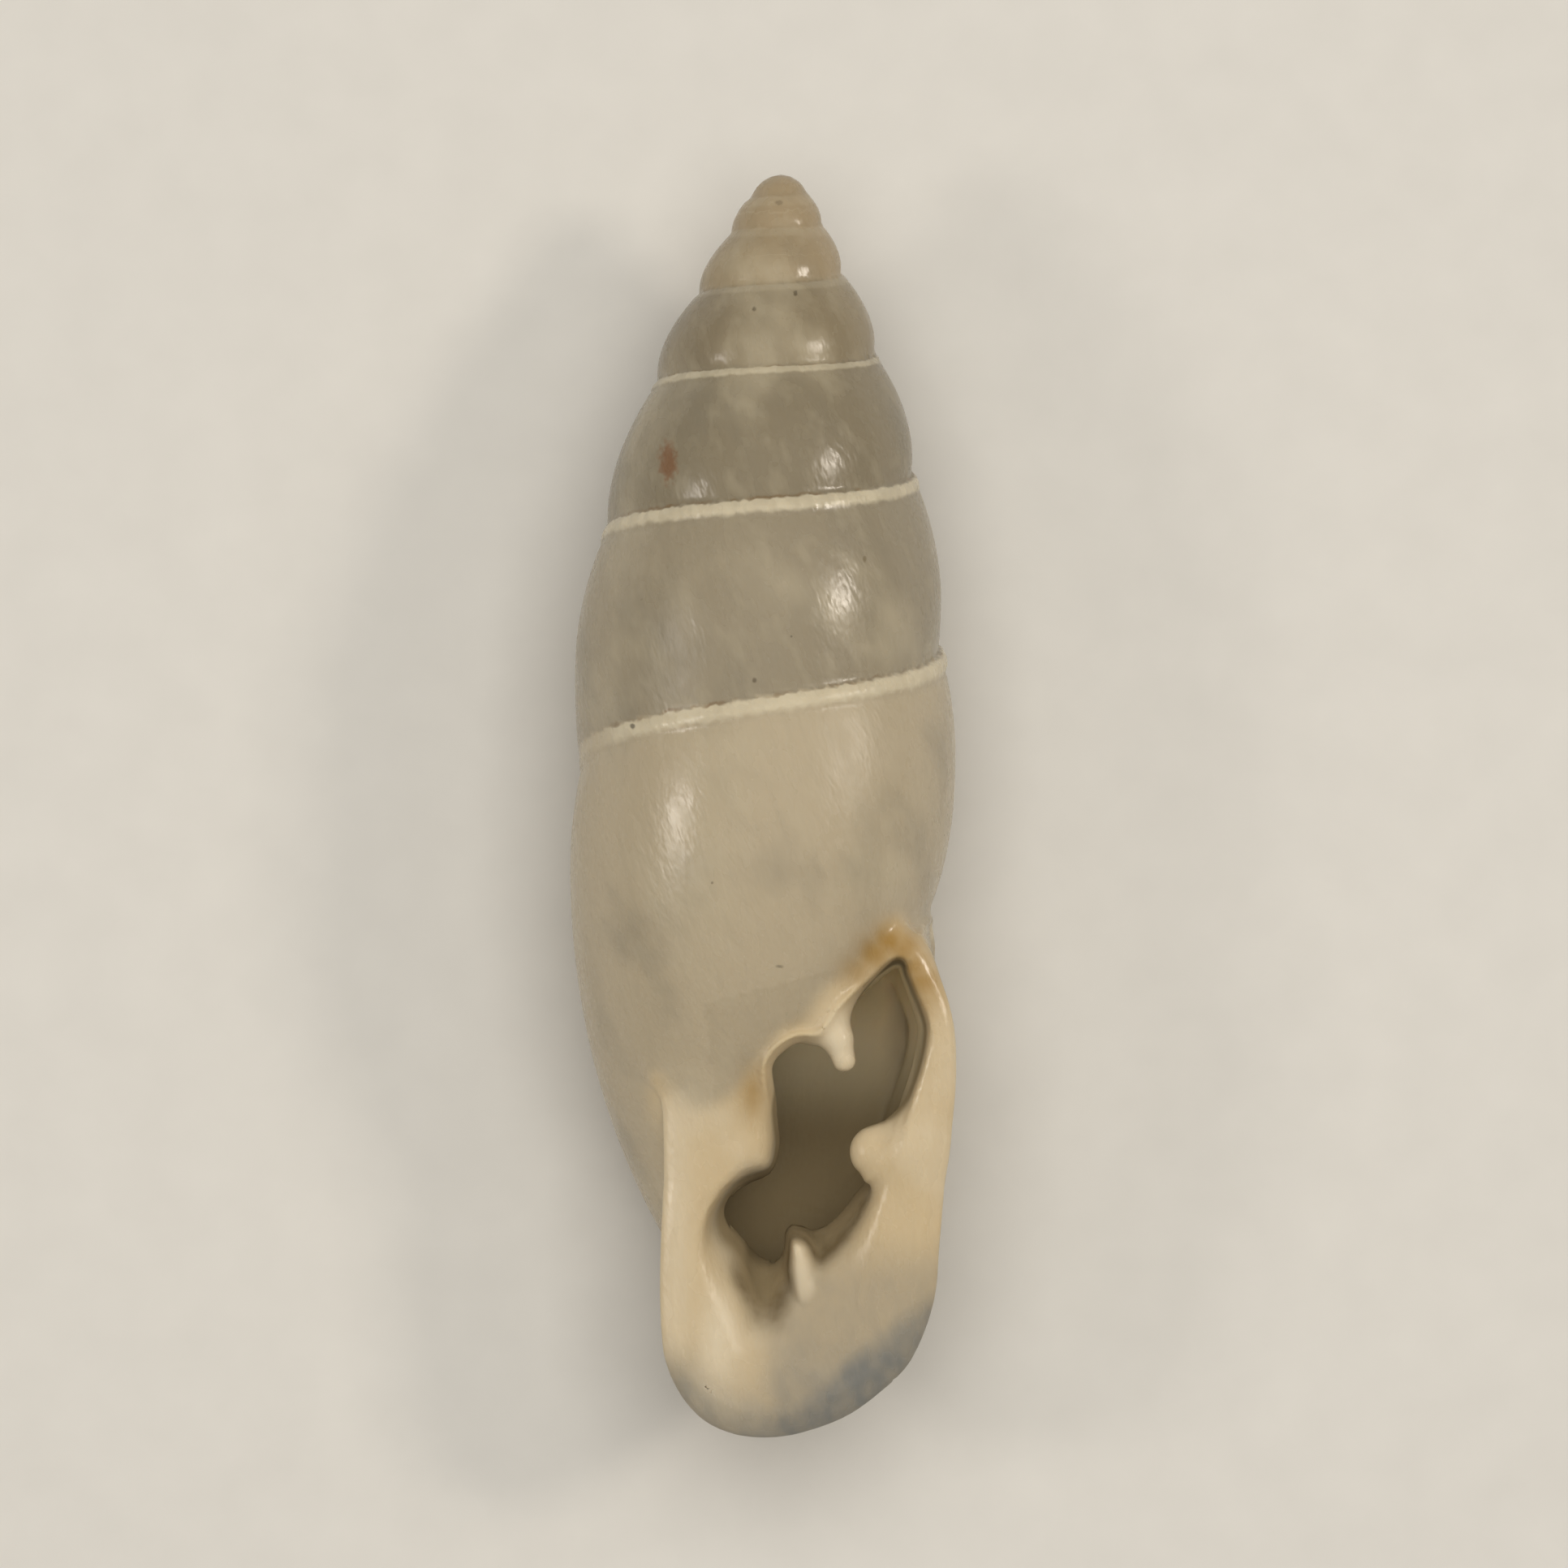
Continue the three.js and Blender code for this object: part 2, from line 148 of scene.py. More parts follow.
@dataclass(frozen=True)
class Growth:
    """The growth values of the shell: one of each table's numbers for every half turn from first on."""

    first: float = -5
    length: float = 22.0
    depth_ratio: float = 0.95
    back_flat: float = 0.06
    back_spread: float = 2.2
    back_turn: float = -4.0
    wall: float = 0.32
    pillar: float = 0.36
    suture_tilt: float = 0.08
    # The coil starts above the first of these half turns and ends at the mouth; its hollow starts later.
    start: float = -2
    last: float = 10.0
    hollow_from: float = 3.0
    suture_depth: tuple[float, ...] = (
        0, 0.06, 0.16, 0.29, 0.49, 0.81, 1.08, 1.64, 2.22, 2.99, 3.78, 5.01, 6.35, 8.04, 10.26, 12.74, 15.74, 19.32,
    )
    suture_radius: tuple[float, ...] = (
        0, 0.23, 0.34, 0.48, 0.57, 0.76, 0.79, 1.17, 1.34, 1.81, 1.97, 2.54, 2.72, 3.12, 3.03, 2.95, 2.8, 2.6,
    )
    whorl_radius: tuple[float, ...] = (
        0.4, 0.5, 0.58, 0.75, 0.8, 1.14, 1.3, 1.78, 1.97, 2.51, 2.74, 3.1, 3.23, 3.4, 3.26, 3.24, 3.2, 3.1,
    )
    widest_share: tuple[float, ...] = (
        0.9, 0.9, 0.9, 0.9, 0.9, 0.88, 0.86, 0.85, 0.85, 0.87, 0.87, 0.71, 0.58, 0.38, 0.32, 0.35, 0.35, 0.35,
    )
    base_share: tuple[float, ...] = (2.1,) * 13 + (1.57, 1.73, 1.31, 1.31, 1.31)
    base_fullness: tuple[float, ...] = (2.6,) * 14 + (2.0, 2.6, 2.6, 2.6)
    base_taper: tuple[float, ...] = (0.7,) * 13 + (0.78, 0.667, 0.5, 0.5, 0.5)
    axis_x: tuple[float, ...] = (0.29, 0.16, 0.08, -0.01, -0.06, -0.09, -0.14, -0.19, -0.23, -0.25, -0.25)
    tip_depth: tuple[float, ...] = (0, 0.03, 0.09, 0.2, 0.38, 0.7, 1.1, 1.6, 20.6, 20.8)
    tip_radius: tuple[float, ...] = (0, 0.16, 0.28, 0.4, 0.5, 0.55, 0.4, 0.24, 0.24, 0)
    # The thread below a suture: its width and how far it stands out, in mm.
    thread_width: tuple[float, ...] = (
        0.16, 0.16, 0.17, 0.17, 0.17, 0.16, 0.14, 0.12, 0.1, 0.09, 0.14, 0.21, 0.23, 0.27, 0.28, 0.28, 0.28, 0.28,
    )
    thread_proud: tuple[float, ...] = (
        0, 0, 0, 0, 0, 0, 0.003, 0.006, 0.012, 0.025, 0.035, 0.045, 0.055, 0.065, 0.055, 0.01, 0, 0,
    )


class Spiral:
    """The coiled whorls: tables of the growth values, and distances to the coil and to its hollow."""

    STEP = 0.01
    TURNS = range(-1, 6)
    # How far past its sutures a whorl is worked out, its fillet, and a value for well inside, in mm.
    MARGIN = 0.5
    FILLET = 0.05
    INSIDE = -9

    def __init__(self, growth: Growth) -> None:
        """Tabulates the growth values.

        Args:
            growth: the values for each half turn.
        """
        g = self.growth = growth
        turns = self.turns = np.arange(g.first, g.last + 2.5, self.STEP)
        lean = g.suture_tilt * np.cos(np.pi * turns)
        self.least, self.most = self.along(g.suture_radius, turns), self.along(g.whorl_radius, turns)
        self.top = np.maximum(0, self.along(g.suture_depth, turns) + lean * self.least)
        seam = self.along(g.suture_depth, turns + 2) + lean * self.along(g.suture_radius, turns + 2)
        self.seam = np.maximum(0, seam)
        self.widest = self.top + self.along(g.widest_share, turns) * (self.seam - self.top)
        self.base = self.top + self.along(g.base_share, turns) * (self.seam - self.top)
        self.fullness, self.taper = self.along(g.base_fullness, turns), self.along(g.base_taper, turns)
        self.width, self.proud = self.along(g.thread_width, turns), self.along(g.thread_proud, turns)
        self.run = np.concatenate([[0], np.cumsum(np.pi * self.STEP * (self.least[1:] + self.least[:-1]) / 2)])

    def along(self, table: tuple[float, ...], half_turn: np.ndarray) -> np.ndarray:
        """Reads a table at half turns, on a smooth curve through its entries.

        Args:
            table: one value for each half turn.
            half_turn: where to read it.

        Returns:
            The values there.
        """
        values = np.asarray(table, float)
        place = np.clip(half_turn - self.growth.first, 0, len(values) - 1)
        i = np.minimum(np.floor(place).astype(int), len(values) - 2)
        before, after = values[np.maximum(i - 1, 0)], values[np.minimum(i + 2, len(values) - 1)]
        return smooth_curve(before, values[i], values[i + 1], after, place - i)

    def at(self, table: np.ndarray, half_turn: np.ndarray) -> np.ndarray:
        """Reads one of the tabulated values."""
        return np.interp(half_turn, self.turns, table)

    def radius(self, half_turn: np.ndarray, depth: np.ndarray) -> np.ndarray:
        """Outer radius of the whorl that passes a half turn, without its thread.

        Args:
            half_turn: which whorl.
            depth: depth below the tip in mm.

        Returns:
            Radius in mm, 0 past the whorl's base.
        """
        top, widest = self.at(self.top, half_turn), self.at(self.widest, half_turn)
        most, least = self.at(self.most, half_turn), self.at(self.least, half_turn)
        over = np.clip((depth - top) / (widest - top), 0, 1)
        under = np.clip((depth - widest) / (self.at(self.base, half_turn) - widest), 0, 1)
        shoulder = least + (most - least) * (1 - (1 - over) ** 1.85)
        belly = most * (1 - under ** self.at(self.fullness, half_turn)) ** self.at(self.taper, half_turn)
        return np.where(depth < widest, shoulder, belly)

    def beading(self, half_turn: np.ndarray) -> np.ndarray:
        """The fine, uneven notching of the thread, about 0.2 mm from notch to notch: -1 to 1."""
        s = self.at(self.run, half_turn) * 2 * np.pi
        return (0.5 * np.sin(s / 0.19 + 0.6) + 0.35 * np.sin(s / 0.27 + 2.1) + 0.35 * np.sin(s / 0.43 + 4.0)) / 1.2

    def thread(self, half_turn: np.ndarray, below: np.ndarray) -> np.ndarray:
        """How far the thread stands out of the whorl, with a shallow groove under it.

        Args:
            half_turn: where along the coil.
            below: distance below the suture in mm.

        Returns:
            Height in mm.
        """
        place = below / self.at(self.width, half_turn)
        proud = self.at(self.proud, half_turn) * (1 + 0.22 * self.beading(half_turn))
        body = (1 - smoothstep(0.66, 1.2, place)) * (0.82 + 0.18 * smoothstep(0, 0.4, place))
        return proud * (body - 0.16 * np.exp(-(((place - 1.38) / 0.22) ** 2)))

    def axis(self, depth: np.ndarray) -> np.ndarray:
        """The x of the leaning axis at depths below the tip."""
        return np.interp(depth, np.linspace(0, self.growth.length, len(self.growth.axis_x)), self.growth.axis_x)

    def polar(self, points: np.ndarray) -> tuple[np.ndarray, np.ndarray, np.ndarray]:
        """Coordinates about the leaning axis.

        Args:
            points: x, y, z in mm, one row for each point.

        Returns:
            Angle in half turns from -1 to 1, depth below the tip, and radius as if the back weren't flattened.
        """
        g = self.growth
        depth = g.length / 2 - points[:, 1]
        x, z = points[:, 0] - self.axis(depth), points[:, 2] / g.depth_ratio
        angle = np.arctan2(z, x)
        flattest = -np.pi / 2 + math.radians(g.back_turn)
        away = np.arccos(np.clip(np.cos(angle - flattest), -1, 1))
        fade = np.cos(np.minimum(away * g.back_spread, np.pi / 2)) ** 2
        return angle / np.pi, depth, np.hypot(x, z) / (1 - g.back_flat * fade)

    def distances(self, points: np.ndarray) -> tuple[np.ndarray, np.ndarray]:
        """Distances to the filled coil and to its hollow.

        Args:
            points: x, y, z in mm.

        Returns:
            Distance to the outside of the coil, and distance to the hollow, both negative inside.
        """
        g = self.growth
        angle, depth, radius = self.polar(points)
        solid = np.where(depth < 0, np.hypot(radius, depth), radius - np.interp(depth, g.tip_depth, g.tip_radius))
        hollow = np.full(len(points), 9.0)
        for turn in self.TURNS:
            h = angle + 2 * turn
            top, base = self.at(self.top, h), self.at(self.base, h)
            near = (depth > top - self.MARGIN) & (depth < base + self.MARGIN) & (h > g.start) & (h < g.last + 1)
            if not near.any():
                continue
            h, d, r, top, base = h[near], depth[near], radius[near], top[near], base[near]
            edge = top + 0.009 * self.beading(h + 0.03) * (self.at(self.proud, h) > 0.03)
            inside = np.clip(d, edge, base)
            skin = self.radius(h, inside)
            slope = (self.radius(h, inside + 0.02) - skin) / 0.02
            reach = (r - skin - self.thread(h, inside - edge)) / np.sqrt(1 + np.minimum(slope * slope, 9))
            whorl = smooth_max(reach, edge - d, self.FILLET)
            # The last turn ends in a flat face at the mouth.
            end = r * np.sin(np.pi * np.clip(h - g.last, -0.5, 0.5))
            past = (h > g.last) & (turn == self.TURNS[-1])
            whorl = np.maximum(whorl, np.where(past, end, self.INSIDE))
            solid[near] = smooth_min(solid[near], whorl, self.FILLET)
            if turn < 1:
                continue
            stretched = top + (d - top) * (base - top) / (base - top - g.wall)
            outer = self.radius(h, stretched) - g.wall
            inner = np.maximum(self.radius(h - 2, d), g.pillar) + 0.02
            tube = smooth_max(smooth_max(r - outer, inner - r, 0.1), top + 0.1 - d, self.FILLET)
            tube = np.maximum(tube, (g.hollow_from - h) * r * np.pi * 0.5)
            hollow[near] = np.minimum(hollow[near], np.maximum(tube, np.where(past, end - 0.1, self.INSIDE)))
        return solid, hollow


class MouthGrid:
    """A flat grid of places over the mouth, for heights and distances that are read between its points."""

    # Samples from one point of an outline to the next.
    FINE = 12

    def __init__(self, low: Point, high: Point, step: float) -> None:
        """Lays out the grid.

        Args:
            low: lowest x and y in mm.
            high: highest x and y in mm.
            step: spacing in mm.
        """
        self.low, self.step = low, step
        self.x, self.y = (np.arange(a, b + step, step) for a, b in zip(low, high))
        self.at_x, self.at_y = np.meshgrid(self.x, self.y, indexing="ij")

    def outline(self, points: list[Point]) -> np.ndarray:
        """Signed distance from each place to a closed smooth outline.

        Args:
            points: points round the outline, in mm.

        Returns:
            Distances in mm, negative inside.
        """
        p = np.asarray(points, float)
        before, end, after = np.roll(p, 1, 0), np.roll(p, -1, 0), np.roll(p, -2, 0)
        rows = [smooth_curve(before, p, end, after, t) for t in np.arange(self.FINE) / self.FINE]
        ring = np.stack(rows, 1).reshape(-1, 2)
        px, py = self.at_x.ravel(), self.at_y.ravel()
        best, inside = np.full(px.shape, 1e9), np.zeros(px.shape, bool)
        for (ax, ay), (bx, by) in zip(ring, np.roll(ring, -1, 0)):
            ex, ey = bx - ax, by - ay
            t = np.clip(((px - ax) * ex + (py - ay) * ey) / max(ex * ex + ey * ey, 1e-12), 0, 1)
            best = np.minimum(best, (px - ax - t * ex) ** 2 + (py - ay - t * ey) ** 2)
            with np.errstate(divide="ignore", invalid="ignore"):
                inside ^= ((ay > py) != (by > py)) & (px < ex * (py - ay) / ey + ax)
        return (np.sqrt(best) * np.where(inside, -1, 1)).reshape(self.at_x.shape)

    def read(self, values: np.ndarray, x: np.ndarray, y: np.ndarray) -> np.ndarray:
        """Reads grid values between the grid's points.

        Args:
            values: one value for each place of the grid.
            x: where, in mm.
            y: where, in mm.

        Returns:
            The values there; places off the grid read its edge.
        """
        u = np.clip((x - self.low[0]) / self.step, 0, len(self.x) - 1.001)
        v = np.clip((y - self.low[1]) / self.step, 0, len(self.y) - 1.001)
        i, j = u.astype(int), v.astype(int)
        u, v = u - i, v - j
        one = values[i, j] * (1 - v) + values[i, j + 1] * v
        two = values[i + 1, j] * (1 - v) + values[i + 1, j + 1] * v
        return one * (1 - u) + two * u

    def blurred(self, values: np.ndarray, spread: float) -> np.ndarray:
        """Evens out grid values.

        Args:
            values: one value for each place of the grid.
            spread: how far each value spreads, in mm.

        Returns:
            The evened values.
        """
        cells = spread / self.step
        reach = int(3 * cells) + 1
        weights = np.exp(-0.5 * (np.arange(-reach, reach + 1) / cells) ** 2)
        weights /= weights.sum()
        for axis in (0, 1):
            wide = np.pad(values, [(reach, reach) if a == axis else (0, 0) for a in (0, 1)], mode="edge")
            values = sum(w * np.take(wide, np.arange(k, k + values.shape[axis]), axis) for k, w in enumerate(weights))
        return values


@dataclass(frozen=True)
class Lobe:
    """A part of a tooth: a rod that tapers from one end to the other and melts into the lip."""

    start: Place
    end: Place
    start_radius: float
    end_radius: float
    melt: float
    flat: float = 1.0

    def distance(self, points: np.ndarray) -> np.ndarray:
        """Signed distance from each point to the rod.

        Args:
            points: x, y, z in mm.

        Returns:
            Distances in mm, negative inside.
        """
        squash = np.array([1, 1, self.flat])
        a, b, points = self.start * squash, self.end * squash, points * squash
        along = b - a
        t = np.clip((points - a) @ along / (along @ along), 0, 1)
        radius = self.start_radius + t * (self.end_radius - self.start_radius)
        return np.linalg.norm(points - a - t[:, None] * along, axis=1) - radius


@dataclass
class Mouth:
    """The flared lip, the spoon-shaped funnel inside it and the teeth."""

    spiral: Spiral
    lip_at_base: float = 1.34
    lip_slope: float = 0.0703
    foot: float = -0.15
    crest_drop: float = 0.3
    edge_below: float = 0.16
    collar: float = 0.28
    collar_foot: float = 0.7
    wall_below: float = 0.34
    throat_depth: float = 0.6
    deep_depth: float = 1.35
    grid_low: Point = (-2.8, -11.7)
    grid_high: Point = (4.0, -1.3)
    grid_step: float = 0.03
    lip: list[Point] = field(default_factory=lambda: [
        (2.2, -2.04), (2.63, -2.19), (2.88, -2.47), (3.06, -2.89), (3.3, -3.74), (3.36, -4.65), (3.3, -5.64),
        (3.19, -6.56), (3.12, -7.54), (3.04, -8.6), (2.63, -9.66), (1.99, -10.29), (1.3, -10.72), (0.26, -11),
        (-0.62, -10.93), (-1.32, -10.51), (-1.8, -9.66), (-1.9, -8.53), (-1.86, -7.54), (-1.82, -6.42),
        (-1.84, -5.43), (-1.85, -4.75), (-1.2, -4.3), (0.26, -3.6), (1.39, -2.82),
    ])
    throat: list[Point] = field(default_factory=lambda: [
        (2.27, -2.72), (2.4, -2.92), (2.54, -3.24), (2.67, -3.55), (2.75, -3.88), (2.65, -4.44), (2.4, -5.15),
        (2.12, -6.13), (1.75, -6.8), (1.5, -7.3), (1.2, -7.85), (0.9, -8.2), (0.62, -8.5), (0.35, -8.85),
        (0.05, -9.05), (-0.3, -8.85), (-0.62, -8.4), (-0.86, -7.8), (-0.9, -7.3), (-0.75, -6.88), (-0.35, -6.44),
        (0.1, -6.28), (0.22, -5.9), (0.2, -5.5), (0.1, -5.0), (0.04, -4.46), (0.26, -4.14), (0.58, -3.98),
        (0.94, -3.97), (1.15, -3.74), (1.46, -3.35),
    ])
    deep: list[Point] = field(default_factory=lambda: [
        (2.27, -2.74), (2.4, -2.95), (2.5, -3.25), (2.6, -3.55), (2.66, -3.88), (2.58, -4.44), (2.36, -5.15),
        (2.0, -6.15), (1.6, -6.65), (1.33, -6.98), (1.08, -7.22), (0.8, -7.32), (0.52, -7.34), (0.33, -7.6),
        (0.1, -7.85), (-0.15, -7.8), (-0.42, -7.5), (-0.63, -7.2), (-0.68, -6.95), (-0.55, -6.7), (-0.3, -6.5),
        (0.12, -6.3), (0.24, -5.9), (0.22, -5.5), (0.12, -5.0), (0.06, -4.48), (0.28, -4.16), (0.59, -4.0),
        (0.95, -3.99), (1.17, -3.76), (1.46, -3.37),
    ])
    # Within this outline the funnel also cuts the whorl that the mouth grew on.
    cut: list[Point] = field(default_factory=lambda: [
        (2.27, -2.66), (2.6, -2.95), (2.8, -3.6), (2.9, -4.65), (2.8, -5.6), (2.7, -6.5), (2.6, -7.5), (2.5, -8.5),
        (2.1, -9.4), (1.5, -9.9), (0.3, -10.4), (-0.5, -10.3), (-1.1, -9.9), (-1.4, -9.2), (-1.5, -8.4),
        (-1.4, -7.5), (-1.1, -6.9), (-0.5, -6.52), (0.1, -6.28), (0.24, -5.9), (0.23, -5.43), (0.2, -5.0),
        (0.14, -4.5), (0.34, -4.22), (0.62, -4.08), (0.92, -4.07), (1.22, -3.82), (1.53, -3.43),
    ])
    neck_heights: tuple[float, ...] = (
        -1.99, -2.05, -2.4, -2.9, -3.75, -4.7, -5.7, -6.6, -7.55, -8.6, -9.5, -10.05, -10.35, -10.48,
    )
    neck_inner: list[Point] = field(default_factory=lambda: [
        (-0.38, -10.35), (-0.6, -10.02), (-0.75, -9.5), (-0.85, -8.53), (-0.95, -7.54), (-0.95, -6.42),
        (-0.8, -5.43), (-0.6, -4.47), (-0.38, -3.88), (0.26, -3.46), (1.9, -2.5),
    ])
    # The parietal tooth's root and tip, and the palatal tooth.
    lobes: tuple[Lobe, ...] = (
        Lobe((1.02, -3.42, 1.71), (1.27, -4.0, 1.87), 0.38, 0.26, 0.45),
        Lobe((1.27, -4.0, 1.87), (1.385, -4.38, 1.88), 0.255, 0.2, 0.1),
        Lobe((2.42, -5.85, 1.2), (1.94, -5.97, 1.3), 0.52, 0.46, 0.5, 1.5),
    )
    # The palatal tooth goes on as a low swelling across the lip, and a low shelf crosses the throat's left slope.
    swelling: Patch = Patch((2.4, -5.95), (0.42, 0.5), 0.07)
    shelf: Patch = Patch((-0.45, -7.68), (0.36, 0.28), 0.3)

    def __post_init__(self) -> None:
        """Works out the outlines' distances and the funnel's heights on a grid over the mouth."""
        g = self.spiral.growth
        depths = g.length / 2 - np.array(self.neck_heights)
        outer = self.spiral.axis(depths) + self.spiral.radius(np.full(len(depths), g.last), depths) - 0.01
        grid = self.grid = MouthGrid(self.grid_low, self.grid_high, self.grid_step)
        self.to_lip, self.to_throat, self.to_deep = (grid.outline(o) for o in (self.lip, self.throat, self.deep))
        self.to_neck = grid.outline(list(zip(outer, self.neck_heights)) + self.neck_inner)
        self.to_cut = grid.blurred(grid.outline(self.cut), 0.03)
        spoon = smoothstep(-7.1, -7.9, grid.at_y)
        falls = self.funnel()
        fall = grid.blurred(falls, 0.05) * (1 - spoon) + grid.blurred(falls, 0.11) * spoon
        fall = smooth_min(fall, self.ridge(grid.at_x, grid.at_y), 0.16)
        self.floor = np.maximum(self.plane(grid.at_y) - fall, self.back() + self.wall_below)
        across, up = np.gradient(self.floor, grid.step)
        self.steep = np.sqrt(1 + np.minimum(across**2 + up**2, 80))

    def plane(self, y: np.ndarray) -> np.ndarray:
        """Height of the lip's plane, which drops a little towards the base."""
        return self.lip_at_base + self.lip_slope * (y + self.spiral.growth.length / 2)

    def back(self) -> np.ndarray:
        """Height of the shell's back under each place of the grid near the throat."""
        heights = np.full(self.to_throat.shape, -0.45)
        near = self.to_throat < 0.3
        x, y = self.grid.at_x[near], self.grid.at_y[near]
        found = np.zeros(len(x))
        for z in np.arange(0, -3.4, -0.08):
            coil, _ = self.spiral.distances(np.stack([x, y, np.full(len(x), z)], 1))
            found = np.where((coil < 0) & (found > z - 0.09), z, found)
        heights[near] = found
        return self.grid.blurred(heights, 0.06)

    def funnel(self) -> np.ndarray:
        """Depth of the mouth's surface below the lip's plane, at each place of the grid."""
        edge, throat, deep = -self.to_lip, self.to_throat, self.to_deep
        x, y, outside = self.grid.at_x, self.grid.at_y, np.maximum(throat, 0)
        # The lip is a broad roll: highest well inside its edge, and a fifth of a millimetre lower at the edge.
        roll = np.clip(0.62 * (edge + outside), 0.2, 0.7)
        outer = self.crest_drop * roll * np.clip(1 - edge / roll, 0, None) ** 2
        way = np.clip(edge - roll, 0, None)
        share = way / np.maximum(way + outside, 1e-6)
        # The slope into the throat is gentle at the base, short along the sides and steep under the columella.
        side = smoothstep(-8.2, -6.6, y)
        plate = smoothstep(-7.5, -6.6, y) * (1 - smoothstep(0.25, 0.7, x))
        band = (1 - smoothstep(-0.9, -0.4, x)) * smoothstep(-8.4, -7.4, y)
        brim = self.throat_depth * (0.42 + 0.58 * smoothstep(-8.2, -6.9, y))
        slope = brim * share ** (2 + np.max([4.5 * side, 7 * plate, 1.2 * band], 0))
        inside = -throat / np.maximum(np.maximum(-throat, 0) + np.maximum(deep, 0), 1e-6)
        wall = brim + (self.deep_depth - brim) * np.clip(inside, 0, 1) ** 1.25 + 12 * np.maximum(-deep, 0)
        fall = np.where(throat > 0, outer + slope, wall)
        shelf = self.shelf.share(x, y) * np.clip(fall, 0, 1)
        return fall + 0.24 * self.groove(x, y) - self.swelling.share(x, y) - shelf

    @staticmethod
    def ridge(x: np.ndarray, y: np.ndarray) -> np.ndarray:
        """Depth below the lip's plane of the basal tooth, a low rounded wedge, at each place."""
        across = x - 0.54 + 0.126 * (y + 7.55)
        across = across / (np.where(across < 0, 0.2, 0.42) * (1 - 0.4 * smoothstep(-8.1, -7.5, y)))
        inner, outer = np.clip(y + 7.66, 0, None) / 0.2, np.clip(-8.3 - y, 0, None) / 0.4
        return 0.15 + 0.3 * across**2 + 0.05 * across**4 + 0.3 * inner**2 + 0.2 * outer**2

    @staticmethod
    def groove(x: np.ndarray, y: np.ndarray) -> np.ndarray:
        """Share of the full depth of the brown groove left of the basal tooth, at each place."""
        across = (x - 0.02 - 0.1 * (y + 7.9)) / 0.26
        return np.exp(-(across**2)) * smoothstep(-9.9, -8.8, y) * (1 - smoothstep(-8.2, -7.7, y))

    def bell(self, points: np.ndarray) -> np.ndarray:
        """Signed distance to the flared end of the tube with its spoon-shaped face.

        Args:
            points: x, y, z in mm.

        Returns:
            Distances, negative inside.
        """
        x, y, z = points.T
        height = self.plane(y) - self.edge_below - self.foot
        rise = np.clip((z - self.foot) / height, 0, 1)
        sharpness = 2.25 + 0.75 * np.clip((x - 0.7) / 2.6, -1, 1)
        neck, lip = self.grid.read(self.to_neck, x, y), self.grid.read(self.to_lip, x, y)
        slant = sharpness * rise ** (sharpness - 1) * (neck - lip) / height
        side = (neck + rise**sharpness * (lip - neck)) / np.sqrt(1 + np.minimum(slant * slant, 9))
        face = (z - self.grid.read(self.floor, x, y)) / self.grid.read(self.steep, x, y)
        rounding = 0.14 + 0.2 * smoothstep(-3.4, -2.3, y)
        return smooth_max(smooth_max(side, face, rounding), self.foot - z, 0.02)

    def opening(self, points: np.ndarray) -> np.ndarray:
        """Signed distance to the space over the funnel, where it cuts what the mouth grew on."""
        x, y, z = points.T
        face = (self.grid.read(self.floor, x, y) - z) / self.grid.read(self.steep, x, y)
        return smooth_max(face, self.grid.read(self.to_cut, x, y), 0.03)

    def sleeve(self, points: np.ndarray) -> np.ndarray:
        """Signed distance to the solid sleeve round the throat, which parts it from the whorl it grew on."""
        x, y, z = points.T
        return smooth_max(self.grid.read(self.to_cut, x, y) - self.collar, self.collar_foot - z, 0.1)


class Net:
    """Turns a field of distances into a mesh of quads, one vertex for each cell that the surface passes."""

    CORNERS = np.array([(i, j, k) for i in (0, 1) for j in (0, 1) for k in (0, 1)])
    EDGES = [(a, b) for a in range(8) for b in range(a + 1, 8) if bin(a ^ b).count("1") == 1]

    def __init__(self, values: np.ndarray, low: np.ndarray, step: float) -> None:
        """Makes the vertices and quads.

        Args:
            values: distances on a regular grid.
            low: the grid's lowest corner in mm.
            step: its spacing in mm.
        """
        inside = values < 0
        shape = tuple(n - 1 for n in values.shape)
        count = np.zeros(shape, np.int8)
        for i, j, k in self.CORNERS:
            count += inside[i : i + shape[0], j : j + shape[1], k : k + shape[2]]
        active = (count > 0) & (count < 8)
        cells = np.argwhere(active)
        number = np.full(shape, -1)
        number[active] = np.arange(len(cells))
        total, hits = np.zeros((len(cells), 3)), np.zeros(len(cells))
        at = [values[tuple((cells + c).T)] for c in self.CORNERS]
        for a, b in self.EDGES:
            crosses = (at[a] < 0) != (at[b] < 0)
            t = at[a][crosses] / (at[a][crosses] - at[b][crosses])
            total[crosses] += self.CORNERS[a] + t[:, None] * (self.CORNERS[b] - self.CORNERS[a])
            hits[crosses] += 1
        self.vertices = low + step * (cells + total / hits[:, None])
        quads = []
        for axis in range(3):
            side, up = (axis + 1) % 3, (axis + 2) % 3
            first, second = [slice(1, -1)] * 3, [slice(1, -1)] * 3
            first[axis], second[axis] = slice(0, -1), slice(1, None)
            change = inside[tuple(first)] != inside[tuple(second)]
            starts = inside[tuple(first)][change]
            place = np.argwhere(change)
            place[:, [side, up]] += 1
            ring = []
            for back in ((0, 0), (1, 0), (1, 1), (0, 1)):
                cell = place.copy()
                cell[:, [side, up]] -= back
                ring.append(number[tuple(cell.T)])
            quad = np.stack(ring, 1)
            quad[~starts] = quad[~starts][:, ::-1]
            quads.append(quad)
        self.quads = np.concatenate(quads)


class Tone(Enum):
    """Names of the surface's values that the finish reads."""

    THREAD = "thread"
    THREAD_NEAR = "thread_near"
    THREAD_WHITE = "thread_white"
    GROWTH = "growth"
    CALLUS = "callus"
    CAVITY = "cavity"
    BROWN = "brown"
    STAIN = "stain"
    THIN = "thin"
    THICK = "thick"
    SUNK = "sunk"


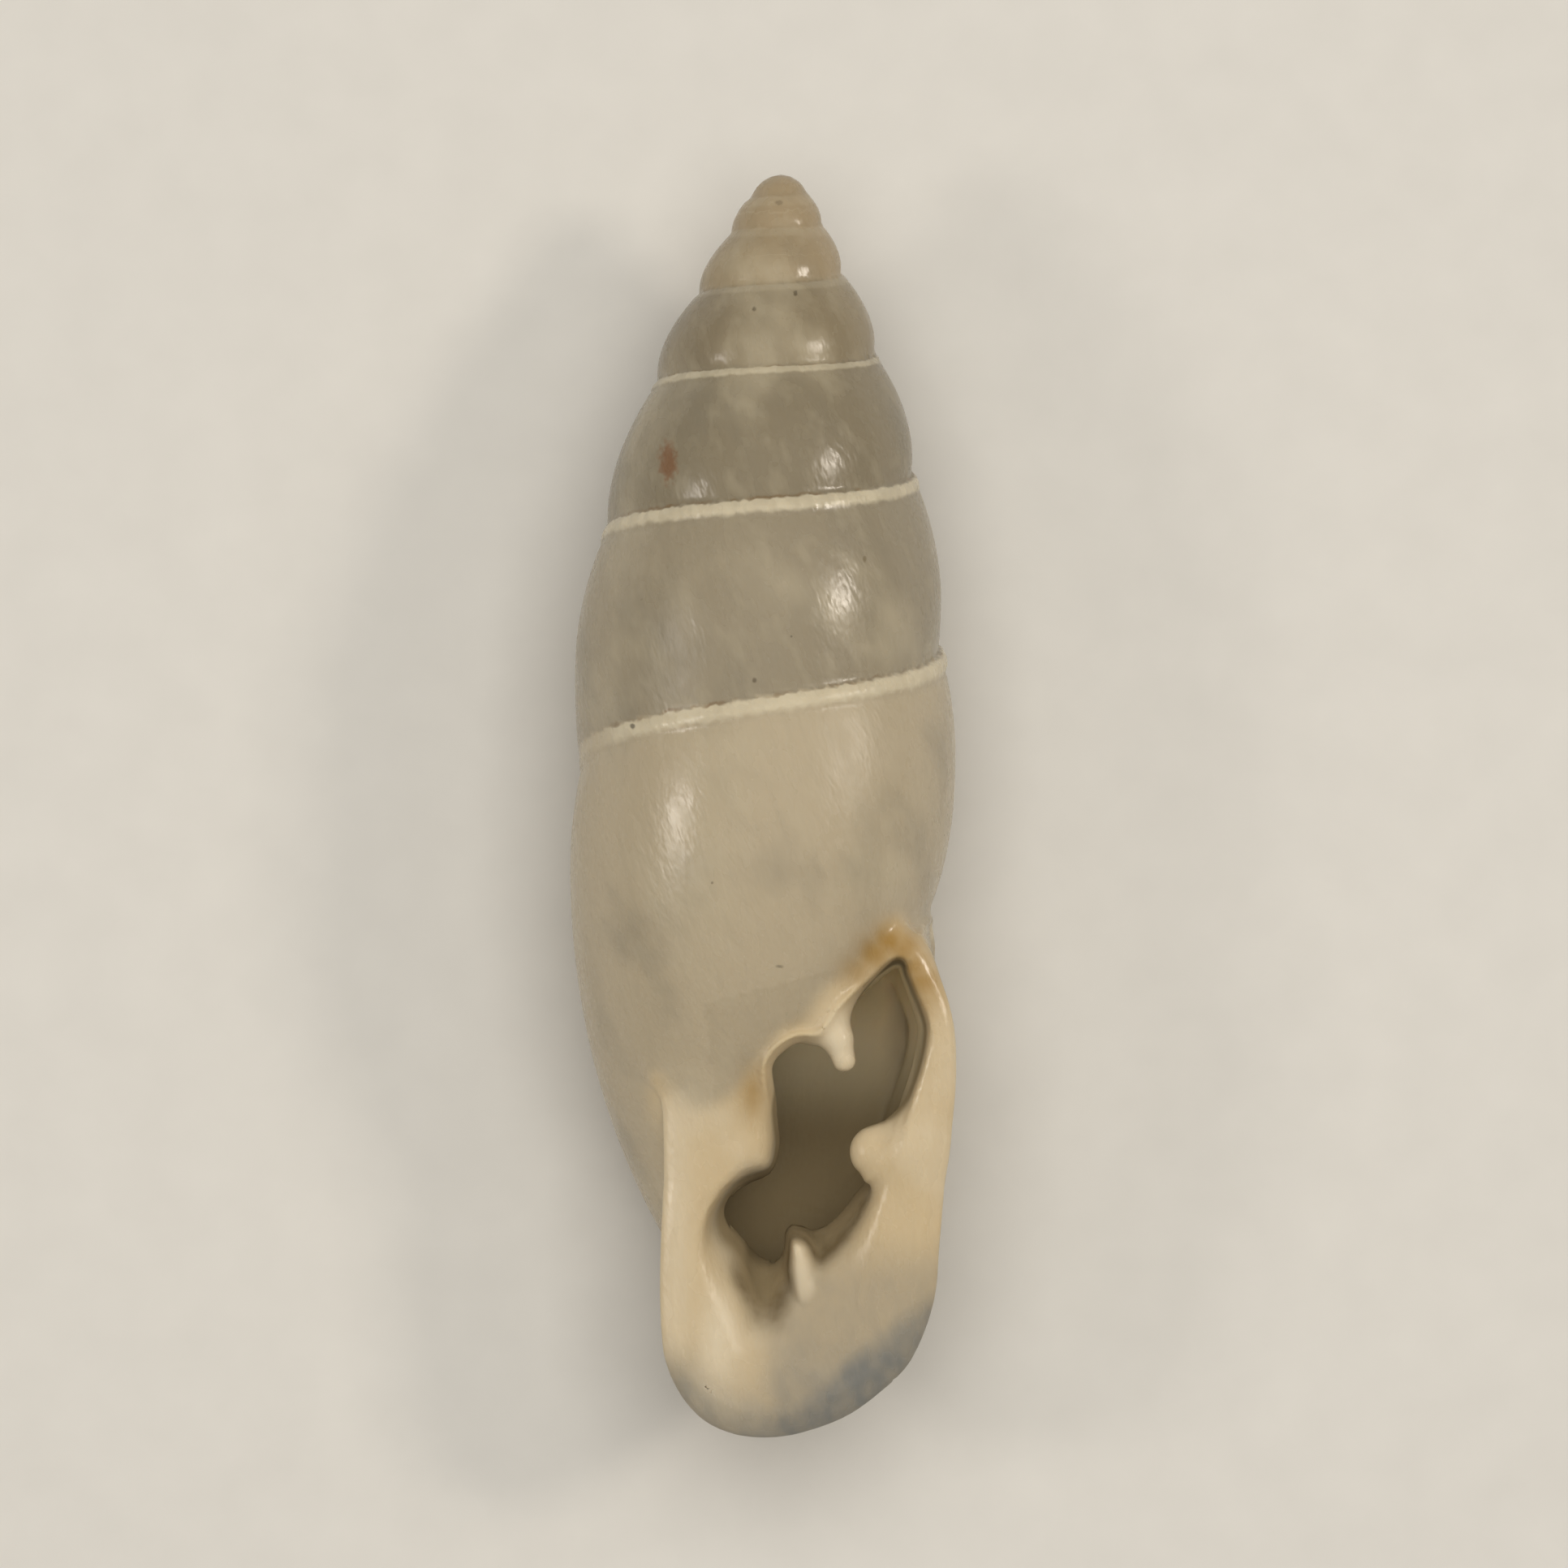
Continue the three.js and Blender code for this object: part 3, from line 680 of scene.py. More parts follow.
@dataclass
class Shell:
    """The whole shell: its field of distances, its fine mesh and the values that its finish reads."""

    growth: Growth = field(default_factory=Growth)
    voxel: float = 0.092
    low: Place = (-3.9, -11.4, -3.5)
    high: Place = (3.9, 11.4, 3.6)
    most_triangles: int = 190000
    pitch: float = 0.95
    roll: float = -1.8
    rest_at: Place = (0.022491, 0.012521, 2.952168)
    # The mouth reaches up to the first y, and its colours up to the second.
    mouth_top: float = -1.4
    colour_top: float = -1.5
    # The rim of the opening fades where the parietal tooth grows out of it.
    tooth_root: Patch = Patch((1.17, -3.62), (0.3, 0.35), 0.4)
    callus_edge: list[Point] = field(default_factory=lambda: [
        (-2.1, -5.2), (-1.92, -4.62), (-1.6, -4.85), (-1.24, -5.2), (-0.85, -5.13), (-0.48, -4.88), (-0.05, -4.3),
        (0.32, -3.86), (0.7, -3.62), (1.08, -3.12), (1.8, -2.5), (2.1, -1.95), (2.7, -2.0), (3.7, -2.6),
        (3.7, -11.4), (-2.3, -11.4), (-2.2, -6.0),
    ])
    # How white the thread is, by half turn.
    thread_white: tuple[Point, ...] = (
        (0, 0.16), (2, 0.2), (3.4, 0.25), (4.1, 0.6), (5, 0.8), (6, 1), (8.78, 1), (8.84, 0.3), (9.3, 0.35), (9.7, 0.7),
    )
    # Soil stains round the upper corner of the mouth, and a fainter one on the columella.
    stains: tuple[Patch, ...] = (
        Patch((1.62, -2.8), (0.32, 0.32), 0.55), Patch((1.9, -2.52), (0.32, 0.32), 0.85),
        Patch((2.17, -2.31), (0.32, 0.32), 1.0), Patch((2.42, -2.45), (0.32, 0.32), 0.9),
        Patch((2.6, -2.75), (0.32, 0.32), 0.8), Patch((2.74, -3.02), (0.32, 0.32), 0.85),
        Patch((2.84, -3.28), (0.32, 0.32), 0.5), Patch((-0.2, -4.95), (0.22, 0.45), 0.6),
    )
    # Thick white places: the lower left of the lip, and the parietal tooth.
    thick: tuple[Patch, ...] = (Patch((-0.8, -9.2), (0.35, 0.8)), Patch((1.28, -4.1), (0.3, 0.45), 0.9))
    # A paler place in the brown painted shade of the throat.
    shade_gap: Patch = Patch((-0.5, -7.66), (0.33, 0.3), 0.7)
    # Worn, duller places: the right of the body whorl, and the left of the whorl above it.
    worn: tuple[Patch, ...] = (Patch((1.35, 1.2), (0.7, 0.8), 0.8), Patch((-1.55, 2.6), (0.7, 0.9), 0.7))

    def __post_init__(self) -> None:
        """Prepares the coil and the mouth."""
        self.spiral = Spiral(self.growth)
        self.mouth = Mouth(self.spiral)
        self.callus_distance = self.mouth.grid.outline(self.callus_edge)

    def distance(self, points: np.ndarray) -> np.ndarray:
        """Signed distance from each point to the shell's wall.

        Args:
            points: x, y, z in mm.

        Returns:
            Distances in mm, negative inside the wall.
        """
        coil, hollow = self.spiral.distances(points)
        mouth = self.mouth
        low = points[:, 1] < self.mouth_top
        front = points[low]
        x, y, z = front.T
        # The columellar lip stays free of the whorl behind it along its left edge, and melts into it elsewhere.
        inward = smoothstep(-1.75, -1.1, x) * (1 - 0.3 * smoothstep(0.8, 1.8, x))
        inward = np.maximum(inward, smoothstep(-5.1, -4.6, y) * (x < 0.8))
        # Along the outer side and at the base both run flush into one another.
        flush = smoothstep(1.2, 2.0, x) * smoothstep(-2.3, -2.8, y) + 0.5 * smoothstep(-9.2, -9.8, y)
        flush = np.clip(flush, 0, 1) * smoothstep(1.0, 0.4, z)
        joined = smooth_min(coil[low], mouth.bell(front), 0.04 + 0.4 * inward * (1 - flush))
        coil[low] = smooth_max(joined, -mouth.opening(front), 0.1 + self.tooth_root.share(x, y))
        hollow[low] = smooth_max(hollow[low], -mouth.sleeve(front), 0.1)
        wall = smooth_max(coil, -hollow, 0.05)
        for lobe in mouth.lobes:
            wall[low] = smooth_min(wall[low], lobe.distance(front), lobe.melt)
        return wall

    def surface(self) -> Net:
        """The fine mesh of the wall, in mm in the shell's own frame."""
        axes = [np.arange(a, b, self.voxel) for a, b in zip(self.low, self.high)]
        values = np.empty([len(a) for a in axes])
        x, z = np.meshgrid(axes[0], axes[2], indexing="ij")
        for j, y in enumerate(axes[1]):
            points = np.stack([x.ravel(), np.full(x.size, y), z.ravel()], 1)
            values[:, j, :] = self.distance(points).reshape(x.shape)
        net = Net(values, np.array(self.low), self.voxel)
        net.vertices = self.settled(net.vertices)
        return net

    def settled(self, vertices: np.ndarray) -> np.ndarray:
        """Moves points that lie near the wall's surface onto it.

        Args:
            vertices: points in mm.

        Returns:
            The moved points.
        """
        reach = 0.008
        for _ in range(3):
            here = self.distance(vertices)
            way = np.stack([(self.distance(vertices + reach * axis) - here) / reach for axis in np.eye(3)], 1)
            move = here[:, None] * way / np.maximum((way**2).sum(1), 0.05)[:, None]
            length = np.linalg.norm(move, axis=1)[:, None]
            vertices = vertices - move * np.minimum(1, 0.5 * self.voxel / np.maximum(length, 1e-9))
        return vertices

    def delicate(self, points: np.ndarray) -> np.ndarray:
        """Tells which points lie on the teeth, the throat's edge and the lip's edge, where the mesh is made finer.

        Args:
            points: vertices in mm.

        Returns:
            True for each such point.
        """
        x, y, z = points.T
        mouth = self.mouth
        low = mouth.plane(y) - z
        tooth = np.min([lobe.distance(points) for lobe in mouth.lobes], 0) < 0.12
        throat = (np.abs(mouth.grid.read(mouth.to_throat, x, y)) < 0.2) & (low < 0.8)
        ridge = (mouth.ridge(x, y) < 0.6) & (low < 0.6)
        lip = (np.abs(mouth.grid.read(mouth.to_lip, x, y)) < 0.16) & (low < 0.5)
        return (tooth | throat | ridge | lip) & (y < -2) & (z > 0.3)

    def refine(self, mesh: bpy.types.Mesh) -> np.ndarray:
        """Splits the faces of the delicate places in four and lays the new points on the wall's surface.

        Args:
            mesh: the mesh in mm, changed here.

        Returns:
            Its vertices.
        """
        made = bmesh.new()
        made.from_mesh(mesh)
        fine = self.delicate(np.array([v.co[:] for v in made.verts]))
        edges = [e for e in made.edges if fine[e.verts[0].index] and fine[e.verts[1].index]]
        bmesh.ops.subdivide_edges(made, edges=edges, cuts=1, use_grid_fill=True)
        made.verts.index_update()
        old = len(mesh.vertices)
        vertices = np.array([v.co[:] for v in made.verts])
        vertices[old:] = self.settled(vertices[old:])
        for vertex, place in zip(made.verts, vertices):
            vertex.co = place
        made.to_mesh(mesh)
        made.free()
        log.info("%d points added round the teeth", len(vertices) - old)
        return vertices

    def coil_tones(self, points: np.ndarray) -> dict[Tone, np.ndarray]:
        """Where each vertex lies in the coil's growth and beside its threads.

        Args:
            points: vertices in mm.

        Returns:
            The values of the tones of growth and of the threads.
        """
        spiral, last = self.spiral, self.growth.last
        angle, depth, _ = spiral.polar(points)
        turn, below, miss = np.zeros(len(points)), np.zeros(len(points)), np.full(len(points), 1e9)
        for k in spiral.TURNS:
            h = angle + 2 * k
            top = spiral.at(spiral.top, h)
            away = np.maximum(top - depth, depth - spiral.at(spiral.seam, h))
            better = (away < miss) & (h > self.growth.start) & (h < last + 0.6)
            turn[better], below[better], miss[better] = h[better], (depth - top)[better], away[better]
        above = spiral.at(spiral.seam, turn) - spiral.at(spiral.top, turn) - below
        signed = np.where(below < above, below, -above)
        owner = np.where(below < above, turn, turn + 2)
        near = np.clip(1 - np.abs(signed) / 0.7, 0, 1) * (owner < last + 0.02)
        return {
            Tone.THREAD: signed / spiral.at(spiral.width, owner) * np.clip(near * 6, 0, 1),
            Tone.THREAD_NEAR: near * (miss < 0.25),
            Tone.THREAD_WHITE: np.interp(owner, *zip(*self.thread_white)),
            Tone.GROWTH: turn / last,
        }

    def mouth_tones(self, points: np.ndarray) -> dict[Tone, np.ndarray]:
        """What each vertex is like in and round the mouth.

        Args:
            points: vertices in mm.

        Returns:
            The values of the tones of the mouth and of the dull places.
        """
        mouth, (x, y, z) = self.mouth, points.T
        fields = (mouth.to_lip, mouth.to_throat, mouth.to_cut, mouth.floor, self.callus_distance)
        to_lip, to_throat, to_cut, floor, to_callus = (mouth.grid.read(values, x, y) for values in fields)
        low, ridge, facing = mouth.plane(y) - z, mouth.ridge(x, y), y < self.colour_top
        front = smoothstep(0.8, 0.15, low) * facing
        lumen = np.clip((0.12 - self.spiral.distances(points)[1]) / 0.08, 0, 1)
        # The cavity's colour, painted shade with painted light at its upper end, starts close under the arch, and
        # deeper down in the spoon.
        upper = smoothstep(-6.0, -5.2, y)
        deep = smoothstep(0, 1, (low - 0.45 + 0.33 * upper) / (0.5 - 0.25 * upper))
        deep = deep * (to_throat < 0.12) * facing * (z > -0.4)
        stain = np.max([patch.share(x, y) for patch in self.stains], 0) * smoothstep(0.9, 0.4, low)
        # The base of the lip is thin all along its edge, most of all at its lower right, and so is the spoon.
        at_base = smoothstep(-8.9, -10.1, y - 0.45 * np.clip(x - 0.3, 0, 3))
        base_edge = 0.8 * np.exp(-((np.clip(-to_lip, 0, None) / 0.85) ** 2)) * at_base
        slanted = ((x - 1.5) * 0.75 + (y + 9.9) * 0.55, (x - 1.5) * 0.6 - (y + 9.9) * 0.75)
        base_right = Patch((0, 0), (1.3, 0.55), 0.6).share(*slanted)
        spoon = 0.45 * smoothstep(-7.2, -8.4, y) * smoothstep(-0.3, 0.5, x) + 0.25 * smoothstep(-8.8, -10.2, y)
        thin = np.clip(np.maximum(base_right + base_edge, spoon), 0, 1) * smoothstep(0, 1, z)
        left_roll = 0.7 * np.exp(-(((x + 1.55) / 0.3) ** 2)) * smoothstep(-4.6, -5.4, y) * smoothstep(-10, -9, y)
        wedge = 0.7 * smoothstep(0.3, 0.16, ridge)
        thick = np.max([patch.share(x, y) for patch in self.thick] + [left_roll, wedge], 0) * (z > 0.3)
        # Painted shade: a brown that darkens the throat's slopes with depth below the lip and lies in the groove, and
        # hardly on the basal tooth.
        bowl = smoothstep(0.4, 0.15, floor - z) * (to_lip < 0) * facing
        slopes = smoothstep(0.28, 0.62, low) * (1 - smoothstep(-6.9, -6.3, y)) * smoothstep(-9.2, -8.2, y)
        slopes = 0.9 * slopes * smoothstep(-0.85, -0.35, x)
        trough = np.exp(-(((x - 0.06) / 0.36) ** 4)) * smoothstep(-9.3, -8.5, y) * (1 - smoothstep(-7.9, -7.4, y))
        bare = (1 - 0.9 * smoothstep(0.3, 0.19, ridge)) * (1 - self.shade_gap.share(x, y))
        # Dull: the spoon, the rim of the arch and the worn places.
        rim = 1.5 * np.exp(-((to_cut / 0.2) ** 2)) * smoothstep(-5.8, -5.2, y) * (x < 1.7) * front
        worn = np.max([patch.share(x, y) for patch in self.worn], 0) * (z > 0)
        return {
            Tone.CALLUS: smoothstep(0.2, -0.2, to_callus) * front,
            Tone.CAVITY: np.maximum(lumen, deep),
            Tone.BROWN: np.maximum(slopes, trough) * bowl * bare,
            Tone.STAIN: stain,
            Tone.THIN: thin,
            Tone.THICK: thick,
            Tone.SUNK: np.max([smoothstep(0.06, 0.25, low) * bowl, rim, worn], 0),
        }

    def placement(self) -> Matrix:
        """The turn and shift with which the shell rests, from its own frame in mm to metres."""
        turn = Matrix.Rotation(math.radians(self.pitch), 4, "X") @ Matrix.Rotation(math.radians(self.roll), 4, "Y")
        return Matrix.Scale(MILLIMETRE, 4) @ Matrix.Translation(self.rest_at) @ turn

    def thinned(self, net: Net) -> bpy.types.Mesh:
        """Makes the mesh, with fewer faces in the hollow behind the mouth, where nothing is seen.

        Args:
            net: the wall's vertices in mm, and its quads.

        Returns:
            The mesh, still in mm in the shell's own frame.
        """
        fine = bpy.data.meshes.new("fine_wall")
        fine.vertices.add(len(net.vertices))
        fine.vertices.foreach_set("co", net.vertices.astype(np.float32).ravel())
        fine.loops.add(net.quads.size)
        fine.loops.foreach_set("vertex_index", net.quads.astype(np.int32).ravel())
        fine.polygons.add(len(net.quads))
        fine.polygons.foreach_set("loop_start", np.arange(0, net.quads.size, 4, dtype=np.int32))
        fine.update(calc_edges=True)
        vertices = self.refine(fine)
        carrier = bpy.data.objects.new("fine_wall", fine)
        bpy.context.collection.objects.link(carrier)
        hidden = (np.abs(self.spiral.distances(vertices)[1]) < 0.04) & (vertices[:, 1] > -2.2)
        group = carrier.vertex_groups.new(name="hidden")
        group.add(np.flatnonzero(hidden).tolist(), 1.0, "REPLACE")
        fewer = carrier.modifiers.new("fewer", "DECIMATE")
        fine.calc_loop_triangles()
        fewer.ratio = min(1.0, self.most_triangles / len(fine.loop_triangles))
        fewer.vertex_group = group.name
        made = bpy.data.meshes.new_from_object(carrier.evaluated_get(bpy.context.evaluated_depsgraph_get()))
        bpy.data.objects.remove(carrier)
        log.info("%d of %d vertices lie hidden in the hollow", hidden.sum(), len(vertices))
        return made

    def build(self) -> bpy.types.Object:
        """Makes the shell's mesh object with its tones.

        Returns:
            The object, at the origin, its place in its mesh.
        """
        mesh = self.thinned(self.surface())
        mesh.name = "shell_wall"
        vertices = np.empty(3 * len(mesh.vertices), np.float32)
        mesh.vertices.foreach_get("co", vertices)
        vertices = vertices.reshape(-1, 3).astype(float)
        turn = np.array(self.placement())
        placed = vertices @ turn[:3, :3].T + turn[:3, 3]
        mesh.vertices.foreach_set("co", placed.astype(np.float32).ravel())
        mesh.update()
        mesh.validate()
        mesh.polygons.foreach_set("use_smooth", np.ones(len(mesh.polygons), bool))
        for tone, values in (self.coil_tones(vertices) | self.mouth_tones(vertices)).items():
            made = mesh.attributes.new(tone.value, "FLOAT", "POINT")
            made.data.foreach_set("value", values.astype(np.float32))
        piece = bpy.data.objects.new("shell_wall", mesh)
        bpy.context.collection.objects.link(piece)
        mesh.calc_loop_triangles()
        log.info("shell_wall: %d vertices, %d triangles", len(vertices), len(mesh.loop_triangles))
        return piece


@dataclass(frozen=True)
class SoftLight:
    """A soft rectangular light: the way to it, its size in mm, its power in watts, and whether the gloss shows it."""

    name: str
    way: Place
    size: Point
    power: float
    hue: str
    shines: bool = True


@dataclass(frozen=True)
class Studio:
    """The plain pale floor, the soft lights and the camera above the shell."""

    frame_height: float = 27.25
    aim: Place = (0.342, 0.409, 0.0)
    distance: float = 600.0
    sensor: float = 36.0
    floor_size: float = 400.0
    # The tooth of real card is too fine to show, so it is drawn coarser, a little over a millimetre wide.
    card_tooth: float = 1 / 0.9
    light_distance: float = 250.0
    # Two window-like lights that the gloss shows, and the even light from above.
    windows: tuple[SoftLight, ...] = (
        SoftLight("right_window", (0.71, 0.17, 0.66), (43, 42), 0.135, "fff4e6"),
        SoftLight("left_window", (-0.76, 0.0, 0.62), (50, 50), 0.084, "fff6ec"),
        SoftLight("ceiling", (0.0, 0.15, 1.0), (220, 220), 0.45, "fffbf5", shines=False),
    )
    room_hue: str = "f2eee8"
    room_light: float = 0.22

    def camera(self, placement: Matrix) -> None:
        """Makes the camera, which looks straight down the shell's own z onto the mouth.

        Args:
            placement: the shell's own frame to the scene.
        """
        data = bpy.data.cameras.new("camera")
        data.sensor_width = self.sensor
        data.lens = self.sensor * self.distance / self.frame_height
        data.clip_start, data.clip_end = 0.01, 5
        eye = bpy.data.objects.new("camera", data)
        bpy.context.collection.objects.link(eye)
        turn = placement.to_3x3().normalized()
        aim = placement @ Vector(self.aim)
        eye.matrix_world = Matrix.Translation(aim + turn.col[2] * self.distance * MILLIMETRE) @ turn.to_4x4()
        bpy.context.scene.camera = eye

    def floor(self) -> None:
        """Makes the floor that the shell lies on: matt card, with a faint tooth that keeps it from looking blank."""
        half = self.floor_size / 2 * MILLIMETRE
        mesh = bpy.data.meshes.new("floor")
        mesh.from_pydata([(-half, -half, 0), (half, -half, 0), (half, half, 0), (-half, half, 0)], [], [(0, 1, 2, 3)])
        made = bpy.data.objects.new("floor", mesh)
        bpy.context.collection.objects.link(made)
        card = bpy.data.materials.new("matt_card")
        card.use_nodes = True
        tree = card.node_tree
        shader = tree.nodes["Principled BSDF"]
        tooth = add_node(tree, "ShaderNodeTexNoise", {
            "Vector": add_node(tree, "ShaderNodeTexCoord").outputs["Object"],
            "Scale": 1 / (self.card_tooth * MILLIMETRE), "Detail": 3.0,
        })
        shade = add_node(tree, "ShaderNodeMix", {
            "Factor": tooth.outputs["Fac"], 6: linear("d6d4ce"), 7: linear("dedcd6"),
        }, data_type="RGBA")
        tree.links.new(shade.outputs[2], shader.inputs["Base Color"])
        shader.inputs["Roughness"].default_value = 0.9
        mesh.materials.append(card)

    def lights(self) -> None:
        """Makes the lights, which face the shell, and the even light of the room."""
        for window in self.windows:
            data = bpy.data.lights.new(window.name, "AREA")
            data.shape = "RECTANGLE"
            data.size, data.size_y = window.size[0] * MILLIMETRE, window.size[1] * MILLIMETRE
            data.energy = window.power
            data.color = linear(window.hue)[:3]
            lamp = bpy.data.objects.new(window.name, data)
            bpy.context.collection.objects.link(lamp)
            toward = Vector(window.way).normalized()
            lamp.location = toward * (self.light_distance * MILLIMETRE)
            lamp.rotation_euler = toward.to_track_quat("Z", "Y").to_euler()
            lamp.visible_glossy = window.shines
        room = bpy.data.worlds.new("room")
        room.use_nodes = True
        sky = room.node_tree.nodes["Background"]
        sky.inputs["Color"].default_value = linear(self.room_hue)
        sky.inputs["Strength"].default_value = self.room_light
        bpy.context.scene.world = room


@dataclass(frozen=True)
class Cloud:
    """An uneven pattern: the size of its patches across and along the shell in mm, its seed and finer layers."""

    name: str
    across: float
    along: float
    seed: float
    finer: float = 2.0
    leans: bool = False


# A value by name, or one turned softly to a share: its name, where the share starts and ends, and the share there.
Factor = str | tuple[str, float, float, float, float]

BY_THE_THREAD = ("thread_near", 0.1, 0.3, 0, 1)
UNEVEN = ("grain", 0.25, 0.75, 0.8, 1)


@dataclass(frozen=True)
class Aragonite:
    """Land-snail shell: layers of fine aragonite crystals, laid down smooth and wet by the animal.

    To the eye it is a warm grey-beige that light enters a little way, cloudy where the layers are thicker, with a
    gloss like old glaze that faint hammered dimples break up. The lip is a thick cream layer, and old soil has
    stained its upper corner.
    """

    # Ground colour by growth: greyer and darker up the spire, warmer in the last whorl.
    ground: tuple[tuple[float, str], ...] = (
        (0.0, "a39275"), (0.16, "95876b"), (0.3, "857a64"), (0.5, "8b816b"), (0.62, "948a75"), (0.84, "b7aa90"),
        (1.0, "b1a48a"),
    )
    ior: float = 1.53
    roughness: float = 0.25
    cavity_dulls: float = 0.45
    sunk_dulls: float = 0.25
    scatter: float = 0.35
    scatter_reach: float = 0.32
    scatter_radius: Place = (1.0, 0.84, 0.64)
    # The growth lines lean as the coil turns: radians of twist for each mm along the shell.
    twist: float = 0.1
    # The finest real growth lines are too fine to show, so they are drawn coarser, 0.2 mm wide.
    clouds: tuple[Cloud, ...] = (
        Cloud("mottle", 1.7, 2.3, 3.1, 3.0, leans=True),
        Cloud("grain", 0.3, 0.55, 17.3, leans=True),
        Cloud("growth lines", 0.2, 2.2, 29.9, leans=True),
        Cloud("grey mottle", 1.7, 2.3, 47.7, 3.0, leans=True),
        Cloud("wobble", 0.16, 0.16, 5.5, 1.0),
        Cloud("caught", 0.45, 0.45, 11.0),
        # The patchiness of the brown painted shade in the throat.
        Cloud("uneven_shade", 0.4, 0.4, 83.0),
        Cloud("ragged", 0.1, 0.1, 91.0),
        Cloud("dimples", 0.11, 0.22, 61.0, 1.0, leans=True),
        Cloud("swell", 0.6, 1.4, 73.0, 1.0, leans=True),
    )
    # Mixed colours: the lower, the upper, and what the upper one's share multiplies.
    blends: tuple[tuple[str, str, str, tuple[Factor, ...]], ...] = (
        ("cream callus", "c9b692", "d8cbb0", (("mottle", 0.42, 0.72, 0, 0.5),)),
        # The hollow's colour is painted shade, brown-grey deep in the throat; at its upper, deeper end under the arch
        # it turns pale, a painted light where the wall behind gets little light.
        ("hollow", "908061", "f6e8c2", (("y", -5.8, -3.4, 0, 1), ("z", 1.4, 0.7, 0, 1))),
    )
    # Layers from the bottom up: each one's colour, and what its share multiplies.
    layers: tuple[tuple[str, tuple[Factor, ...]], ...] = (
        # Cloudy layers in the ground: grey and pale patches, pale grain and darker growth lines.
        ("7d7768", (("grey mottle", 0.48, 0.76, 0, 0.38),)),
        ("beb399", (("mottle", 0.48, 0.76, 0, 0.5),)),
        ("beb399", (("grain", 0.5, 0.75, 0, 0.18),)),
        ("7d7768", (("growth lines", 0.5, 0.75, 0, 0.06),)),
        # An opaque cream thread below the suture, its edges uneven, with dirt caught along its upper side.
        ("d0c6ac", (("place", -0.08, 0.12, 0, 1), ("place", 0.75, 1.25, 0.92, 0), "thread_white", BY_THE_THREAD,
                    ("grain", 0.3, 0.7, 0.7, 1))),
        ("75562b", (("place", -0.3, -0.1, 0, 1), ("place", -0.06, 0.1, 1, 0), ("caught", 0.42, 0.65, 0, 0.5),
                    BY_THE_THREAD, ("thread_white", 0.3, 0.9, 0.1, 1))),
        # Cream callus and lip, thin bluish and thick creamy places, orange-brown stains, then painted shade: a brown on
        # the throat's slopes and in its groove, and the hollow's colour.
        ("cream callus", ("callus",)),
        ("7b7b76", ("thin", UNEVEN)),
        ("d8cbb0", ("thick", UNEVEN)),
        ("96701f", ("stain", UNEVEN)),
        # Painted shade: an uneven brown on the throat's slopes and in the groove.
        ("655434", ("brown", ("uneven_shade", 0.3, 0.65, 0.65, 1))),
        # The cavity gets the hollow's painted shade, and its painted light at the upper end.
        ("hollow", ("cavity",)),
    )
    # Marks that go through the front wall: a spot of rust, and specks of dirt.
    marks: tuple[tuple[Patch, str], ...] = (
        (Patch((-1.67, 5.97), (0.25, 0.55), 0.75), "7d5636"),
        (Patch((-0.17, 8.64), (0.06, 0.07), 0.55), "4a3f2c"),
        (Patch((0.54, 8.93), (0.06, 0.08), 0.65), "4a3f2c"),
        (Patch((0.26, 10.5), (0.12, 0.06), 0.4), "5a4c36"),
        (Patch((-0.17, 2.19), (0.07, 0.07), 0.6), "4a3c26"),
        (Patch((0.47, 2.96), (0.04, 0.04), 0.6), "4a3f2c"),
        (Patch((1.74, 4.3), (0.06, 0.09), 0.5), "6a5a38"),
        (Patch((0.26, -2.75), (0.11, 0.05), 0.5), "55503f"),
        (Patch((-2.28, 1.41), (0.07, 0.07), 0.7), "3c3220"),
        (Patch((-0.9, -1.3), (0.04, 0.04), 0.5), "5a4c36"),
    )
    # How deep the bumps are, in mm, from the broadest to the finest.
    bumps: tuple[tuple[str, float], ...] = (("swell", 0.012), ("dimples", 0.009), ("growth lines", 0.0012))

    def laid(
        self, tree: bpy.types.NodeTree, known: dict[str, Socket], under: Socket | Colour, hue: str,
        factors: tuple[Factor, ...],
    ) -> Socket:
        """Lays one colour over another.

        Args:
            tree: the material's nodes.
            known: the values and mixed colours by name.
            under: the lower colour.
            hue: the upper colour, by name or in sRGB hex.
            factors: what the upper colour's share multiplies.

        Returns:
            The colour.
        """
        share = 1.0
        for factor in factors:
            value = known[factor if isinstance(factor, str) else factor[0]]
            if not isinstance(factor, str):
                inputs = {0: value} | dict(enumerate(factor[1:], 1))
                value = add_node(tree, "ShaderNodeMapRange", inputs, interpolation_type="SMOOTHSTEP").outputs[0]
            share = add_node(tree, "ShaderNodeMath", {0: share, 1: value}, operation="MULTIPLY").outputs[0]
        over = known[hue] if hue in known else linear(hue)
        return add_node(tree, "ShaderNodeMix", {0: share, 6: under, 7: over}, data_type="RGBA").outputs[2]

